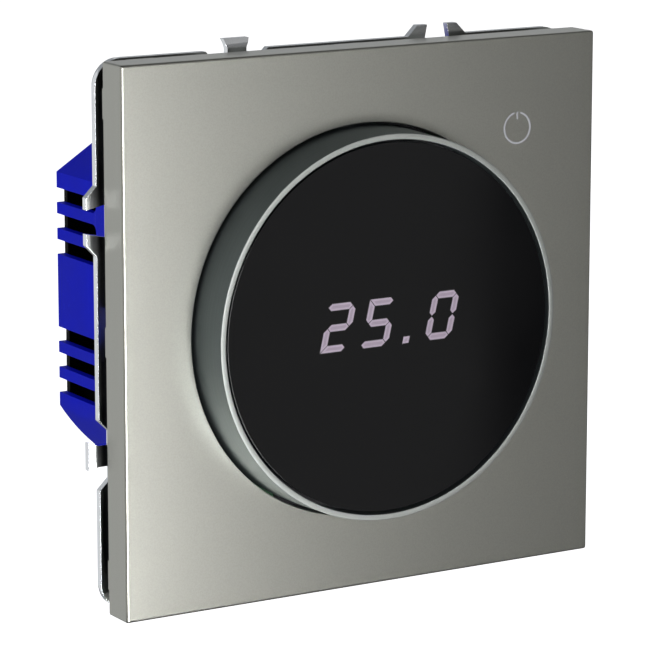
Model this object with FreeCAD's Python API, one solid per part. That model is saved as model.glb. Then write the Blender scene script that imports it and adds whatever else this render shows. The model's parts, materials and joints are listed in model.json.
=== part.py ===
import FreeCAD, Part
import math
import os

# Flush wall thermostat with a turning dial, for a round device box.
# +X is to the right of someone who faces it, +Y points into the wall, +Z is up.
# The wall plane is the rear face of the mounting strap, Y = 0.
# The origin is the centre of the box screws, on the axis of the dial.
# Lengths are in millimetres.

# --- Mounting strap: sheet steel, one of a row of devices set 71 mm apart ---
strap_size = 70.0
strap_thickness = 1.0
strap_corner_radius = 3.5
strap_window_width = 45.0
strap_window_height = 42.0
strap_window_radius = 4.0
coupling_offset = 14.9
coupling_reach = 1.4
horn_base_width = 8.8
horn_end_width = 6.0
socket_mouth_width = 3.0
socket_throat_width = 4.25
socket_depth = 1.6
tab_neck_width = 2.75
tab_end_width = 3.65
tab_flare_start = 0.15
tab_bend_length = 0.6
tab_bend_angle = 20.0
recess_mouth_width = 9.0
recess_floor_width = 6.1
recess_depth = 1.5
box_screw_spacing = 60.0
box_slot_radius = 2.1
box_slot_length = 6.6

# --- Front plate ---
plate_size = 70.0
plate_depth = 4.6
plate_to_strap_gap = 2.15
plate_front_wall = 1.6
plate_skirt_wall = 1.4
plate_edge_round = 0.35
plate_hole_edge_round = 0.4
plate_hole_collar_wall = 1.2
plate_hole_collar_depth = 1.0
plate_land_length = 3.8
plate_land_height = 0.25
plate_land_offset = 29.8
plate_peg_offset = 29.0
plate_peg_radius = 1.45
plate_peg_fit = 0.05
grip_ring_radius = 2.1
grip_ring_width = 0.8

# --- Touch key with a lit power symbol ---
symbol_x = 23.0
symbol_z = 23.05
symbol_radius = 2.0
symbol_line_width = 0.3
symbol_gap_angle = 13.0
symbol_bar_length = 1.0
symbol_wall = 0.6
light_pad_radius = 3.0
light_pad_thickness = 0.8
light_guide_fit = 0.03
electrode_inner_radius = 3.4
electrode_outer_radius = 4.6
electrode_thickness = 0.3
electrode_leg_width = 1.0
electrode_leg_gap = 0.2

# --- Dial: a turning ring round a fixed window ---
dial_radius = 25.0
dial_front_radius = 24.8
dial_protrusion = 6.2
dial_hole_gap = 0.45
dial_rim_width = 0.74
dial_rim_round = 0.35
window_gap = 0.4
window_recess = 0.3
window_thickness = 1.6
window_edge_round = 0.15
carrier_bond_gap = 0.04
hub_radius = 22.55
hub_wall = 1.5
hub_running_fit = 0.05
hub_flange_radius = 23.3
hub_flange_thickness = 0.8
hub_floor_thickness = 1.0
dial_end_float = 0.1
dial_front_float = 0.3
glide_washer_thickness = 0.4
glide_washer_inner_radius = 22.9
glide_washer_outer_radius = 23.9
hub_post_radius = 2.2
hub_post_circle = 12.0
hub_post_angles = (90.0, 210.0, 330.0)

# --- Dial gear and encoder ---
gear_module = 0.8
ring_gear_teeth = 55
pinion_teeth = 10
gear_addendum = 0.65
gear_dedendum = 0.85
gear_backlash = 0.5
gear_face_width = 1.5
pinion_face_gap = 0.2
pressure_angle = 20.0
pinion_angle = -60.0
encoder_shaft_radius = 1.0
encoder_shaft_fit = 0.05
encoder_size = 6.5
encoder_height = 2.6
encoder_bushing_radius = 1.8
encoder_bushing_length = 3.0

# --- Display ---
digit_height = 5.28
digit_width = 3.14
digit_slant_angle = 13.0
digit_centre_z = 0.9
digit_centres_x = (-7.75, -1.75, 7.73)
displayed_digits = ("2", "5", "0")
digit_strokes = {"2": "abged", "5": "afgcd", "0": "abcdef"}
mitred_ends = {("2", "e"): (0, -1), ("2", "d"): (-1, 0), ("5", "a"): (1, 0), ("5", "f"): (-1, 0)}
decimal_point_x = 2.3
decimal_point_width = 0.9
segment_width = 0.84
segment_gap = 0.05
segment_fit = 0.08
light_box_width = 26.0
light_box_height = 13.0
light_box_skin = 0.9
light_cell_size = 1.9
led_size = 1.2
led_height = 0.5
display_board_radius = 20.6
display_board_thickness = 1.0
display_header_pins = 6
display_header_z = -10.0

# --- Front chassis ---
chassis_size = 66.0
chassis_corner_radius = 3.0
chassis_plate_thickness = 1.8
chassis_rim_wall = 1.5
chassis_depth = 3.0
chassis_boss_radius = 2.8
box_screw_access_radius = 4.6
strap_screw_x = 26.5
strap_screw_z = 21.0
satellite_width = 17.0
satellite_height = 12.0
satellite_board_thickness = 0.8
satellite_corner_offset = 28.5
satellite_pins = 4
satellite_pocket_gap = 0.2
satellite_pin_inset = 1.5
sensor_bead_radius = 0.9
sensor_bead_lift = 0.7
sensor_lead_offset = 0.5
sensor_lead_width = 0.3

# --- Rear housing ---
housing_half_width = 24.4
housing_side_top = 16.0
housing_top = 24.5
housing_top_half_width = 11.1
housing_bottom = 26.0
housing_bottom_radius = 29.0
housing_depth = 30.8
housing_wall = 1.1
housing_rear_wall = 1.0
vent_panel_half_height = 4.95
vent_slot_height = 1.95
vent_rib_height = 1.53
vent_slot_front = 19.6
vents_each_way = 3
housing_boss_x = 18.5
housing_boss_z = 15.0
housing_boss_radius = 2.9
housing_boss_counterbore = 2.2
housing_boss_seat = 6.0
ledge_reach = 3.8
ledge_height = 7.0
ledge_depth = 7.0
ledge_bite = 0.05

# --- Screws ---
screw_shank_radius = 0.9
screw_head_radius = 1.8
screw_head_height = 1.2
screw_clearance = 0.15
screw_bite = 0.02
screw_bite_length = 2.8
screw_recess_span = 2.0
screw_recess_width = 0.45
screw_recess_depth = 0.6
strap_screw_inset = 0.05

# --- Boards ---
board_edge_gap = 0.4
board_boss_gap = 0.4
control_board_front = 2.0
control_board_thickness = 1.2
control_post_x = 19.6
control_post_radius = 2.2
power_board_front = 10.0
power_board_thickness = 1.6
pin_size = 0.6
pin_fit = 0.1
pin_pitch = 2.0
header_width = 2.4
header_height = 2.4
link_pins = 8
link_x = -3.0
link_z = -14.0

# --- Parts on the control board ---
radio_z = 7.0
radio_carrier_x = -5.0
radio_carrier_width = 18.0
radio_carrier_height = 13.0
radio_carrier_thickness = 0.8
radio_can_x = -6.5
radio_can_width = 13.0
radio_can_height = 11.0
radio_can_thickness = 1.8

# --- Parts on the power board ---
relay_x = -9.5
relay_z = -4.8
relay_width = 18.0
relay_depth = 9.6
relay_tall = 15.3
relay_edge_round = 0.6
transformer_x = 8.5
transformer_z = 2.5
core_width = 13.0
core_height = 11.0
core_tall = 11.0
core_yoke = 2.5
core_leg_width = 5.4
core_window_width = 2.6
winding_fit = 0.1
winding_wall = 2.3
winding_end_fit = 0.1
winding_end_wall = 0.7
winding_end_gap = 0.2
capacitor_places_x = (-14.5, -5.0)
capacitor_z = 4.9
capacitor_radius = 3.9
capacitor_tall = 12.0
capacitor_edge_round = 0.4
film_box_z = -7.0
film_box_width = 13.0
film_box_height = 5.0
film_box_tall = 11.0
varistor_x = 16.6
varistor_z = -6.6
varistor_radius = 3.2
varistor_thickness = 2.2
varistor_lift = 4.0
varistor_lead_offset = 1.8
varistor_lead_width = 0.6
varistor_lead_length = 1.6
fuse_x = 17.4
fuse_z = 6.4
fuse_radius = 1.9
fuse_tall = 8.0
rectifier_x = 6.0
rectifier_z = 6.0
rectifier_width = 6.5
rectifier_height = 4.7
rectifier_thickness = 2.4

# --- Terminals: three poles at the top, three at the bottom ---
pole_pitch = 7.0
poles_each_end = 3
terminal_y = 23.0
terminal_block_wall_gap = 0.2
terminal_block_height = 14.2
terminal_screw_recess = 0.9
terminal_head_radius = 2.6
terminal_head_height = 1.8
terminal_head_fit = 0.25
terminal_seat_fit = 0.05
terminal_shank_radius = 1.5
terminal_shank_length = 6.3
terminal_thread_fit = 0.05
terminal_deck = 1.0
terminal_slot_width = 0.8
terminal_cage_travel = 2.2
cage_width = 5.6
cage_wall = 0.6
cage_length = 5.0
cage_nut_thickness = 1.8
cage_floor_thickness = 1.2
cage_side_fit = 0.15
wire_space = 3.0
bar_thickness = 1.0
bar_width = 3.6
bar_tail_width = 1.2
wire_entry_size = 4.6

# Clearance between pieces that stay apart
free_gap = 0.3

# --- Positions along the depth, worked out from the sizes above ---
strap_front = -strap_thickness
plate_rear = strap_front - plate_to_strap_gap
plate_front = plate_rear - plate_depth
plate_inner = plate_front + plate_front_wall
plate_hole_radius = dial_radius + dial_hole_gap
dial_front = plate_front - dial_protrusion
dial_inner_radius = dial_front_radius - dial_rim_width
window_front = dial_front + window_recess
window_rear = window_front + window_thickness
window_radius = dial_inner_radius - window_gap
chassis_front = strap_front - chassis_depth
chassis_rear = chassis_front + chassis_plate_thickness
washer_front = chassis_front - glide_washer_thickness
dial_rear = washer_front - dial_end_float
carrier_front = window_rear + hub_flange_thickness + dial_front_float
carrier_bore_radius = hub_radius + hub_running_fit
gear_front = dial_rear - gear_face_width
hub_rear = gear_front - dial_front_float
hub_floor_front = hub_rear - hub_floor_thickness
ring_pitch_radius = gear_module * ring_gear_teeth / 2
pinion_pitch_radius = gear_module * pinion_teeth / 2
pinion_distance = ring_pitch_radius - pinion_pitch_radius
pinion_x = pinion_distance * math.cos(math.radians(pinion_angle))
pinion_z = pinion_distance * math.sin(math.radians(pinion_angle))
display_board_rear = hub_floor_front - pin_size
display_board_front = display_board_rear - display_board_thickness
satellite_board_front = chassis_front + satellite_pocket_gap
satellite_board_rear = satellite_board_front + satellite_board_thickness
control_board_rear = control_board_front + control_board_thickness
power_board_rear = power_board_front + power_board_thickness
housing_inner_rear = housing_depth - housing_rear_wall
terminal_block_rear = housing_inner_rear - terminal_block_wall_gap / 2

overcut = 1.0


def box(x0, x1, y0, y1, z0, z1):
    return Part.makeBox(x1 - x0, y1 - y0, z1 - z0, FreeCAD.Vector(x0, y0, z0))


def centred_box(x, z, width, height, y0, y1):
    return box(x - width / 2, x + width / 2, y0, y1, z - height / 2, z + height / 2)


def rod(radius, y0, y1, x=0.0, z=0.0):
    return Part.makeCylinder(radius, y1 - y0, FreeCAD.Vector(x, y0, z), FreeCAD.Vector(0, 1, 0))


def tube(outer_radius, inner_radius, y0, y1, x=0.0, z=0.0):
    bore = rod(inner_radius, y0 - overcut, y1 + overcut, x, z)
    return rod(outer_radius, y0, y1, x, z).cut(bore)


def prism(outline, y0, y1):
    points = [FreeCAD.Vector(x, y0, z) for x, z in outline]
    face = Part.Face(Part.makePolygon(points + points[:1]))
    return face.extrude(FreeCAD.Vector(0, y1 - y0, 0))


def rounded_block(width, height, radius, y0, y1):
    block = centred_box(0.0, 0.0, width, height, y0, y1)
    upright = [edge for edge in block.Edges if runs_along_depth(edge)]
    return block.makeFillet(radius, upright)


def runs_along_depth(edge):
    start, end = edge.Vertexes[0].Point, edge.Vertexes[-1].Point
    return abs(end.x - start.x) < 1e-6 and abs(end.z - start.z) < 1e-6


def is_circle_at(edge, radius, y):
    """True for a full circle of this radius about the dial's axis at this depth."""
    span = edge.BoundBox
    flat = abs(span.YMin - y) < 1e-3 and abs(span.YMax - y) < 1e-3
    return flat and abs(span.XMax - radius) < 1e-3 and abs(span.XMin + radius) < 1e-3


def turned(shape, angle):
    copy = shape.copy()
    copy.rotate(FreeCAD.Vector(0, 0, 0), FreeCAD.Vector(0, 1, 0), angle)
    return copy


def on_four_sides(shape):
    return [turned(shape, quarter * 90.0) for quarter in range(4)]


def corners(x, z):
    return [(x, z), (-x, z), (-x, -z), (x, -z)]


def fused(shapes):
    return shapes[0].multiFuse(shapes[1:]).removeSplitter()


def save(name, shape):
    solids = shape if isinstance(shape, list) else shape.Solids
    whole = Part.makeCompound(solids) if len(solids) > 1 else solids[0]
    whole.exportStep("parts/" + name + ".step")


def pan_screw(seat_y, x, z, length, way):
    """Cross-recess screw whose head stands on seat_y and whose shank runs towards way."""
    head_top = seat_y - way * screw_head_height
    recess_floor = head_top + way * screw_recess_depth
    head = rod_between(screw_head_radius, seat_y, head_top, x, z)
    shank = rod_between(screw_shank_radius, seat_y, seat_y + way * length, x, z)
    body = head.fuse(shank).removeSplitter()
    for width, height in ((screw_recess_span, screw_recess_width), (screw_recess_width, screw_recess_span)):
        body = body.cut(centred_box(x, z, width, height, *sorted((head_top, recess_floor))))
    return body


def rod_between(radius, y0, y1, x, z):
    return rod(radius, min(y0, y1), max(y0, y1), x, z)


# --- Mounting strap ---

def strap_side_outline(points):
    """Points given as (along, beyond the edge) on the strap's top side."""
    return prism([(x, strap_size / 2 + beyond) for x, beyond in points], strap_front, 0.0)


def tapered_outline(centre, width_0, beyond_0, width_1, beyond_1):
    return [
        (centre - width_0 / 2, beyond_0),
        (centre - width_1 / 2, beyond_1),
        (centre + width_1 / 2, beyond_1),
        (centre + width_0 / 2, beyond_0),
    ]


def coupling_tab():
    """Male dovetail, its last stretch bent a little towards the wall."""
    centre = -coupling_offset
    root = strap_size / 2 - recess_depth - overcut
    flare = strap_size / 2 + tab_flare_start
    tip = strap_size / 2 + coupling_reach
    half_neck = tab_neck_width / 2
    half_end = tab_end_width / 2
    outline = [
        (centre - half_neck, root),
        (centre - half_neck, flare),
        (centre - half_end, tip),
        (centre + half_end, tip),
        (centre + half_neck, flare),
        (centre + half_neck, root),
    ]
    rise = tab_bend_length * math.tan(math.radians(tab_bend_angle))
    bend = tip - tab_bend_length
    side_profile = [
        FreeCAD.Vector(centre - tab_end_width, y, z)
        for y, z in (
            (strap_front, root),
            (strap_front, bend),
            (strap_front + rise, tip),
            (rise, tip),
            (0.0, bend),
            (0.0, root),
        )
    ]
    side_face = Part.Face(Part.makePolygon(side_profile + side_profile[:1]))
    bent_strip = side_face.extrude(FreeCAD.Vector(2 * tab_end_width, 0, 0))
    return prism(outline, strap_front - overcut, overcut).common(bent_strip)


def mounting_strap():
    sheet = rounded_block(strap_size, strap_size, strap_corner_radius, strap_front, 0.0)
    recess = strap_side_outline(
        tapered_outline(-coupling_offset, recess_floor_width, -recess_depth, recess_mouth_width, 0.0)
    )
    horns = strap_side_outline(
        tapered_outline(coupling_offset, horn_base_width, 0.0, horn_end_width, coupling_reach)
    )
    socket = strap_side_outline(
        tapered_outline(
            coupling_offset, socket_throat_width, -socket_depth, socket_mouth_width, coupling_reach
        )
    )
    for cut in on_four_sides(recess):
        sheet = sheet.cut(cut)
    sheet = fused([sheet] + on_four_sides(horns) + on_four_sides(coupling_tab()))
    for cut in on_four_sides(socket):
        sheet = sheet.cut(cut)
    window = rounded_block(
        strap_window_width, strap_window_height, strap_window_radius, strap_front - overcut, overcut
    )
    sheet = sheet.cut(window)
    for slot in on_four_sides(box_screw_slot()):
        sheet = sheet.cut(slot)
    for x, z in corners(strap_screw_x, strap_screw_z):
        sheet = sheet.cut(countersink(x, z, screw_clearance))
    return sheet


def box_screw_slot():
    reach = box_slot_length / 2 - box_slot_radius
    z = box_screw_spacing / 2
    ends = [rod(box_slot_radius, strap_front - overcut, overcut, 0.0, z + step) for step in (-reach, reach)]
    middle = centred_box(0.0, z, 2 * box_slot_radius, 2 * reach, strap_front - overcut, overcut)
    return fused(ends + [middle])


def countersink(x, z, margin):
    """Cone and shank hole of a countersunk strap screw driven from the wall side."""
    cone = Part.makeCone(
        screw_shank_radius + margin,
        screw_head_radius + margin,
        strap_thickness,
        FreeCAD.Vector(x, strap_front, z),
        FreeCAD.Vector(0, 1, 0),
    )
    return cone.fuse(rod(screw_shank_radius + margin, strap_front - overcut, 0.0, x, z))


def strap_screws():
    screws = []
    for x, z in corners(strap_screw_x, strap_screw_z):
        cone = Part.makeCone(
            screw_shank_radius,
            screw_head_radius,
            strap_thickness - strap_screw_inset,
            FreeCAD.Vector(x, strap_front, z),
            FreeCAD.Vector(0, 1, 0),
        )
        body = cone.fuse(rod(screw_shank_radius, strap_front - screw_bite_length, strap_front, x, z))
        body = body.removeSplitter()
        recess_floor = -strap_screw_inset - screw_recess_depth
        body = body.cut(centred_box(x, z, screw_recess_span, screw_recess_width, recess_floor, 0.0))
        body = body.cut(centred_box(x, z, screw_recess_width, screw_recess_span, recess_floor, 0.0))
        screws.append(body)
    return screws


# --- Front plate and its lit symbol ---

def front_plate():
    shell = rounded_plate_block()
    inner = plate_size - 2 * plate_skirt_wall
    shell = shell.cut(centred_box(0.0, 0.0, inner, inner, plate_inner, plate_rear + overcut))
    collar_rear = plate_inner + plate_hole_collar_depth
    collar = rod(plate_hole_radius + plate_hole_collar_wall, plate_inner, collar_rear)
    pegs = [
        rod(plate_peg_radius, plate_inner, strap_front - free_gap, x, z)
        for x, z in corners(plate_peg_offset, plate_peg_offset)
    ]
    shell = fused([shell, collar] + pegs + plate_lands())
    shell = shell.cut(rod(plate_hole_radius, plate_front - overcut, collar_rear + overcut))
    mouth = [edge for edge in shell.Edges if is_circle_at(edge, plate_hole_radius, plate_front)]
    shell = shell.makeFillet(plate_hole_edge_round, mouth)
    pocket_floor = plate_front + symbol_wall
    shell = shell.cut(rod(light_pad_radius, pocket_floor, plate_inner + overcut, symbol_x, symbol_z))
    for piece in symbol_strokes(light_guide_fit, plate_front - overcut, pocket_floor + overcut):
        shell = shell.cut(piece)
    return shell


def rounded_plate_block():
    block = centred_box(0.0, 0.0, plate_size, plate_size, plate_front, plate_rear)
    edges = [edge for edge in block.Edges if not touches_rear(edge)]
    return block.makeFillet(plate_edge_round, edges)


def touches_rear(edge):
    return max(vertex.Point.y for vertex in edge.Vertexes) > plate_rear - 1e-6 and not runs_along_depth(edge)


def plate_lands():
    """Low lands on the rear edge that hold the plate off its neighbours."""
    lands = []
    middle = plate_size / 2 - plate_skirt_wall / 2
    for x in (-plate_land_offset, 0.0, plate_land_offset):
        land = centred_box(
            x, middle, plate_land_length, plate_skirt_wall, plate_rear, plate_rear + plate_land_height
        )
        lands += on_four_sides(land)
    return lands


def symbol_strokes(margin, y0, y1):
    """Open circle and bar of the power symbol."""
    half_line = symbol_line_width / 2 + margin
    ring = tube(symbol_radius + half_line, symbol_radius - half_line, y0, y1, symbol_x, symbol_z)
    gap_half_width = symbol_radius * math.sin(math.radians(symbol_gap_angle)) - margin
    gap = box(
        symbol_x - gap_half_width, symbol_x + gap_half_width,
        y0 - overcut, y1 + overcut, symbol_z, symbol_z + 2 * symbol_radius,
    )
    top = symbol_z + symbol_radius + half_line
    bar = box(symbol_x - half_line, symbol_x + half_line, y0, y1, top - symbol_bar_length - margin, top)
    return [ring.cut(gap), bar]


def symbol_light_guide():
    pad_front = plate_front + symbol_wall + light_guide_fit
    pad_radius = light_pad_radius - light_guide_fit
    pad = rod(pad_radius, pad_front, pad_front + light_pad_thickness, symbol_x, symbol_z)
    return fused([pad] + symbol_strokes(0.0, plate_front + light_guide_fit, pad_front + light_guide_fit))


# --- Touch key, power light and room sensor on two small boards ---

def satellite_outline(inset):
    """Low and high corners of the board behind the touch key."""
    high = satellite_corner_offset - inset
    return high - satellite_width + 2 * inset, high, high - satellite_height + 2 * inset, high


def satellite_slab(inset, y0, y1):
    x0, x1, z0, z1 = satellite_outline(inset)
    return box(x0, x1, y0, y1, z0, z1)


def satellite_pin_places():
    x0, x1, z0, z1 = satellite_outline(0.0)
    x, z = x0 + satellite_pin_inset, z0 + satellite_pin_inset
    return [(x, z + pin_pitch * step) for step in range(satellite_pins // 2)]


def satellite_board():
    board = satellite_slab(0.0, satellite_board_front, satellite_board_rear)
    for x, z in satellite_pin_places():
        hole = centred_box(
            x, z, pin_size + pin_fit, pin_size + pin_fit,
            satellite_board_front - overcut, satellite_board_rear + overcut,
        )
        board = board.cut(hole)
    for x, z in ((strap_screw_x, strap_screw_z), (plate_peg_offset, plate_peg_offset)):
        board = board.cut(rod(chassis_boss_radius, satellite_board_front - overcut, chassis_rear, x, z))
    return board


def satellite_pins_set():
    rear = control_board_rear + pin_size
    return [
        centred_box(x, z, pin_size, pin_size, satellite_board_front, rear) for x, z in satellite_pin_places()
    ]


def touch_electrode():
    front = plate_inner + light_pad_thickness
    ring = tube(electrode_outer_radius, electrode_inner_radius, front, front + electrode_thickness,
                symbol_x, symbol_z)
    leg_x = (electrode_outer_radius + electrode_inner_radius) / 2
    reach = electrode_outer_radius - electrode_inner_radius
    legs = [
        centred_box(symbol_x + side * leg_x, symbol_z, reach - electrode_leg_gap, electrode_leg_width,
                    front, satellite_board_front)
        for side in (-1, 1)
    ]
    return fused([ring] + legs)


def power_led():
    return centred_box(
        symbol_x, symbol_z, led_size, led_size, satellite_board_front - led_height, satellite_board_front
    )


def room_sensor():
    """Bead thermistor with two leads on the lower board."""
    x, z = -symbol_x, -symbol_z
    bead_y = satellite_board_front - sensor_bead_lift
    bead = Part.makeSphere(sensor_bead_radius, FreeCAD.Vector(x, bead_y, z))
    leads = [
        centred_box(x + side * sensor_lead_offset, z, sensor_lead_width, sensor_lead_width, bead_y,
                    satellite_board_front)
        for side in (-1, 1)
    ]
    return fused([bead] + leads).cut(
        centred_box(x, z, 4 * sensor_bead_radius, 4 * sensor_bead_radius, satellite_board_front,
                    satellite_board_front + overcut)
    )


# --- Dial ---

def dial_ring():
    """Thin decorative ring that is gripped and turned."""
    points = [
        FreeCAD.Vector(dial_inner_radius, dial_front, 0),
        FreeCAD.Vector(dial_front_radius, dial_front, 0),
        FreeCAD.Vector(dial_radius, plate_front, 0),
        FreeCAD.Vector(dial_radius, dial_rear, 0),
        FreeCAD.Vector(dial_inner_radius, dial_rear, 0),
    ]
    section = Part.Face(Part.makePolygon(points + points[:1]))
    ring = section.revolve(FreeCAD.Vector(0, 0, 0), FreeCAD.Vector(0, 1, 0), 360)
    rim = [edge for edge in ring.Edges if is_circle_at(edge, dial_front_radius, dial_front)]
    return ring.makeFillet(dial_rim_round, rim)


def gear_outline(teeth, valley_radius, tip_radius, pitch_radius, phase):
    """Straight-flanked teeth; valley_radius may lie inside or outside tip_radius."""
    pitch_width = math.pi * gear_module / 2 - gear_backlash / 2
    slope = 2 * math.tan(math.radians(pressure_angle))
    points = []
    for tooth in range(teeth):
        middle = 2 * math.pi * tooth / teeth + phase
        flanks = []
        for radius in (valley_radius, tip_radius):
            width = pitch_width + slope * abs(radius - pitch_radius) * (-1 if radius == tip_radius else 1)
            flanks.append((radius, width / 2 / radius))
        points += [(r * math.cos(middle - a), r * math.sin(middle - a)) for r, a in flanks]
        points += [(r * math.cos(middle + a), r * math.sin(middle + a)) for r, a in reversed(flanks)]
    return points


def dial_carrier():
    """Inner ring of the dial: bearing bore in front, internal gear behind."""
    outer = dial_inner_radius - carrier_bond_gap
    front = tube(outer, carrier_bore_radius, carrier_front, gear_front)
    tip = ring_pitch_radius - gear_addendum
    valley = ring_pitch_radius + gear_dedendum
    ring = rod(outer, gear_front, dial_rear)
    teeth_space = prism(
        gear_outline(ring_gear_teeth, valley, tip, ring_pitch_radius, 0.0),
        gear_front - overcut, dial_rear + overcut,
    )
    return fused([front, ring.cut(teeth_space)])


def dial_pinion():
    """Encoder pinion in mesh with the dial's internal gear."""
    valley = pinion_pitch_radius - gear_dedendum
    tip = pinion_pitch_radius + gear_addendum
    outline = gear_outline(pinion_teeth, valley, tip, pinion_pitch_radius, pinion_phase())
    gear = prism(outline, gear_front + pinion_face_gap, dial_rear)
    gear.translate(FreeCAD.Vector(pinion_x, 0, pinion_z))
    return gear.cut(rod(encoder_shaft_radius, gear_front - overcut, dial_rear + overcut, pinion_x, pinion_z))


def pinion_phase():
    """Turns the pinion so that one of its teeth sits in a gap of the ring gear."""
    toward_ring = math.radians(pinion_angle)
    ring_step = 2 * math.pi / ring_gear_teeth
    nearest_gap = (round(toward_ring / ring_step - 0.5) + 0.5) * ring_step
    offset_on_pitch = (toward_ring - nearest_gap) * ring_pitch_radius
    return toward_ring - offset_on_pitch / pinion_pitch_radius


def encoder_shaft():
    front = gear_front + pinion_face_gap
    return rod(encoder_shaft_radius, front, control_board_front - encoder_shaft_fit, pinion_x, pinion_z)


def encoder_body():
    front = control_board_front - encoder_height
    case = centred_box(pinion_x, pinion_z, encoder_size, encoder_size, front, control_board_front)
    bushing = rod(encoder_bushing_radius, front - encoder_bushing_length, front, pinion_x, pinion_z)
    bore = rod(encoder_shaft_radius + encoder_shaft_fit, front - encoder_bushing_length - overcut,
               control_board_front, pinion_x, pinion_z)
    return fused([case, bushing]).cut(bore)


def glide_washer():
    washer = tube(glide_washer_outer_radius, glide_washer_inner_radius, washer_front, chassis_front)
    return washer


# --- Hub, window and display ---

def hub_post_places():
    return [
        (hub_post_circle * math.cos(math.radians(a)), hub_post_circle * math.sin(math.radians(a)))
        for a in hub_post_angles
    ]


def dial_hub():
    """Fixed collar that the dial turns on; it carries the window and the display."""
    flange = rod(hub_flange_radius, window_rear, window_rear + hub_flange_thickness)
    collar = rod(hub_radius, window_rear, hub_rear)
    posts = [rod(hub_post_radius, hub_floor_front, chassis_front, x, z) for x, z in hub_post_places()]
    rests = [rod(hub_post_radius, display_board_rear, hub_floor_front, x, z) for x, z in hub_post_places()]
    hub = fused([flange, collar] + posts)
    hub = hub.cut(rod(hub_radius - hub_wall, window_rear - overcut, hub_floor_front))
    hub = fused([hub] + rests)
    for x, z in hub_post_places():
        pilot = rod(screw_shank_radius + screw_bite, chassis_front - screw_bite_length - overcut,
                    chassis_front + overcut, x, z)
        hub = hub.cut(pilot)
    return hub.cut(display_header_way(hub_floor_front - overcut, hub_rear + overcut))


def display_header_way(y0, y1):
    width = display_header_pins * pin_pitch + 2 * pin_fit
    return centred_box(0.0, display_header_z, width, header_width + 2 * pin_fit, y0, y1)


def display_window():
    """Smoked disc with an aperture for each lit bar of the digits."""
    disc = rod(window_radius, window_front, window_rear)
    rim = [edge for edge in disc.Edges if is_circle_at(edge, window_radius, window_front)]
    disc = disc.makeFillet(window_edge_round, rim)
    for bar in lit_bars(segment_fit, window_front - overcut, window_rear + overcut):
        disc = disc.cut(bar)
    return disc


def slanted(point, centre_x):
    x, z = point
    lean = math.tan(math.radians(digit_slant_angle))
    return centre_x + x + z * lean, digit_centre_z + z


def bar_outline(start, end, margin, start_side, end_side):
    """Bar with pointed ends; where a side is given, that end is mitred out to the digit's corner.

    A side of 1 or -1 says on which hand of the bar, going from start to end, the corner lies.
    """
    length = math.hypot(end[0] - start[0], end[1] - start[1])
    along = ((end[0] - start[0]) / length, (end[1] - start[1]) / length)
    across = (-along[1], along[0])
    half = segment_width / 2 + margin
    inset = segment_gap - margin
    stations = end_stations(inset, half, start_side)
    stations += [(length - s, w) for s, w in end_stations(inset, half, end_side)][::-1]
    return [
        (start[0] + along[0] * s + across[0] * w, start[1] + along[1] * s + across[1] * w)
        for s, w in stations
    ]


def end_stations(inset, half, side):
    """Distances along and across the bar round one end, from its right hand to its left."""
    if side == 0:
        return [(inset + half, -half), (inset, 0.0), (inset + half, half)]
    corner = (inset - half, side * half)
    inner = (inset + half, -side * half)
    return [inner, corner] if side > 0 else [corner, inner]


def digit_bars(digit, margin):
    """Outlines of one digit's lit bars about its own centre, upright."""
    half_w = digit_width / 2
    half_h = digit_height / 2
    left_top, right_top = (-half_w, half_h), (half_w, half_h)
    left_mid, right_mid = (-half_w, 0.0), (half_w, 0.0)
    left_low, right_low = (-half_w, -half_h), (half_w, -half_h)
    ends = {
        "a": (left_top, right_top),
        "b": (right_top, right_mid),
        "c": (right_mid, right_low),
        "d": (left_low, right_low),
        "e": (left_mid, left_low),
        "f": (left_top, left_mid),
        "g": (left_mid, right_mid),
    }
    outlines = []
    for stroke in digit_strokes[digit]:
        start_side, end_side = mitred_ends.get((digit, stroke), (0, 0))
        outlines.append(bar_outline(*ends[stroke], margin, start_side, end_side))
    return outlines


def lit_bars(margin, y0, y1):
    bars = []
    for digit, centre_x in zip(displayed_digits, digit_centres_x):
        for outline in digit_bars(digit, margin):
            bars.append(prism([slanted(point, centre_x) for point in outline], y0, y1))
    half = segment_width / 2 + margin
    half_point = decimal_point_width / 2 + margin
    lean = math.tan(math.radians(digit_slant_angle))
    base = -digit_height / 2
    point_x = decimal_point_x - base * lean
    square = [(-half_point, base - half), (half_point, base - half), (half_point, base + half),
              (-half_point, base + half)]
    bars.append(prism([slanted(corner, point_x) for corner in square], y0, y1))
    return bars


def lit_bar_centres():
    return [bar.CenterOfMass for bar in lit_bars(0.0, window_front, window_rear)]


def display_light_box():
    """White block between the window and the board, with a cell over each light."""
    block = centred_box(0.0, digit_centre_z, light_box_width, light_box_height, window_rear,
                        display_board_front)
    for centre in lit_bar_centres():
        cell = centred_box(centre.x, centre.z, light_cell_size, light_cell_size,
                           window_rear + light_box_skin, display_board_front + overcut)
        block = block.cut(cell)
    return block


def display_lights():
    return [
        centred_box(c.x, c.z, led_size, led_size, display_board_front - led_height, display_board_front)
        for c in lit_bar_centres()
    ]


def display_board():
    disc = rod(display_board_radius, display_board_front, display_board_rear)
    for x, z in header_pin_places(display_header_pins, 0.0, display_header_z):
        disc = disc.cut(centred_box(x, z, pin_size + pin_fit, pin_size + pin_fit,
                                    display_board_front - overcut, display_board_rear + overcut))
    return disc


def header_pin_places(count, x, z):
    start = x - pin_pitch * (count - 1) / 2
    return [(start + pin_pitch * step, z) for step in range(count)]


def header_block(count, x, z, y0, y1):
    block = centred_box(x, z, count * pin_pitch, header_width, y0, y1)
    for pin_x, pin_z in header_pin_places(count, x, z):
        block = block.cut(centred_box(pin_x, pin_z, pin_size + pin_fit, pin_size + pin_fit,
                                      y0 - overcut, y1 + overcut))
    return block


def header_pins(count, x, z, y0, y1):
    return [
        centred_box(pin_x, pin_z, pin_size, pin_size, y0, y1)
        for pin_x, pin_z in header_pin_places(count, x, z)
    ]


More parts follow.
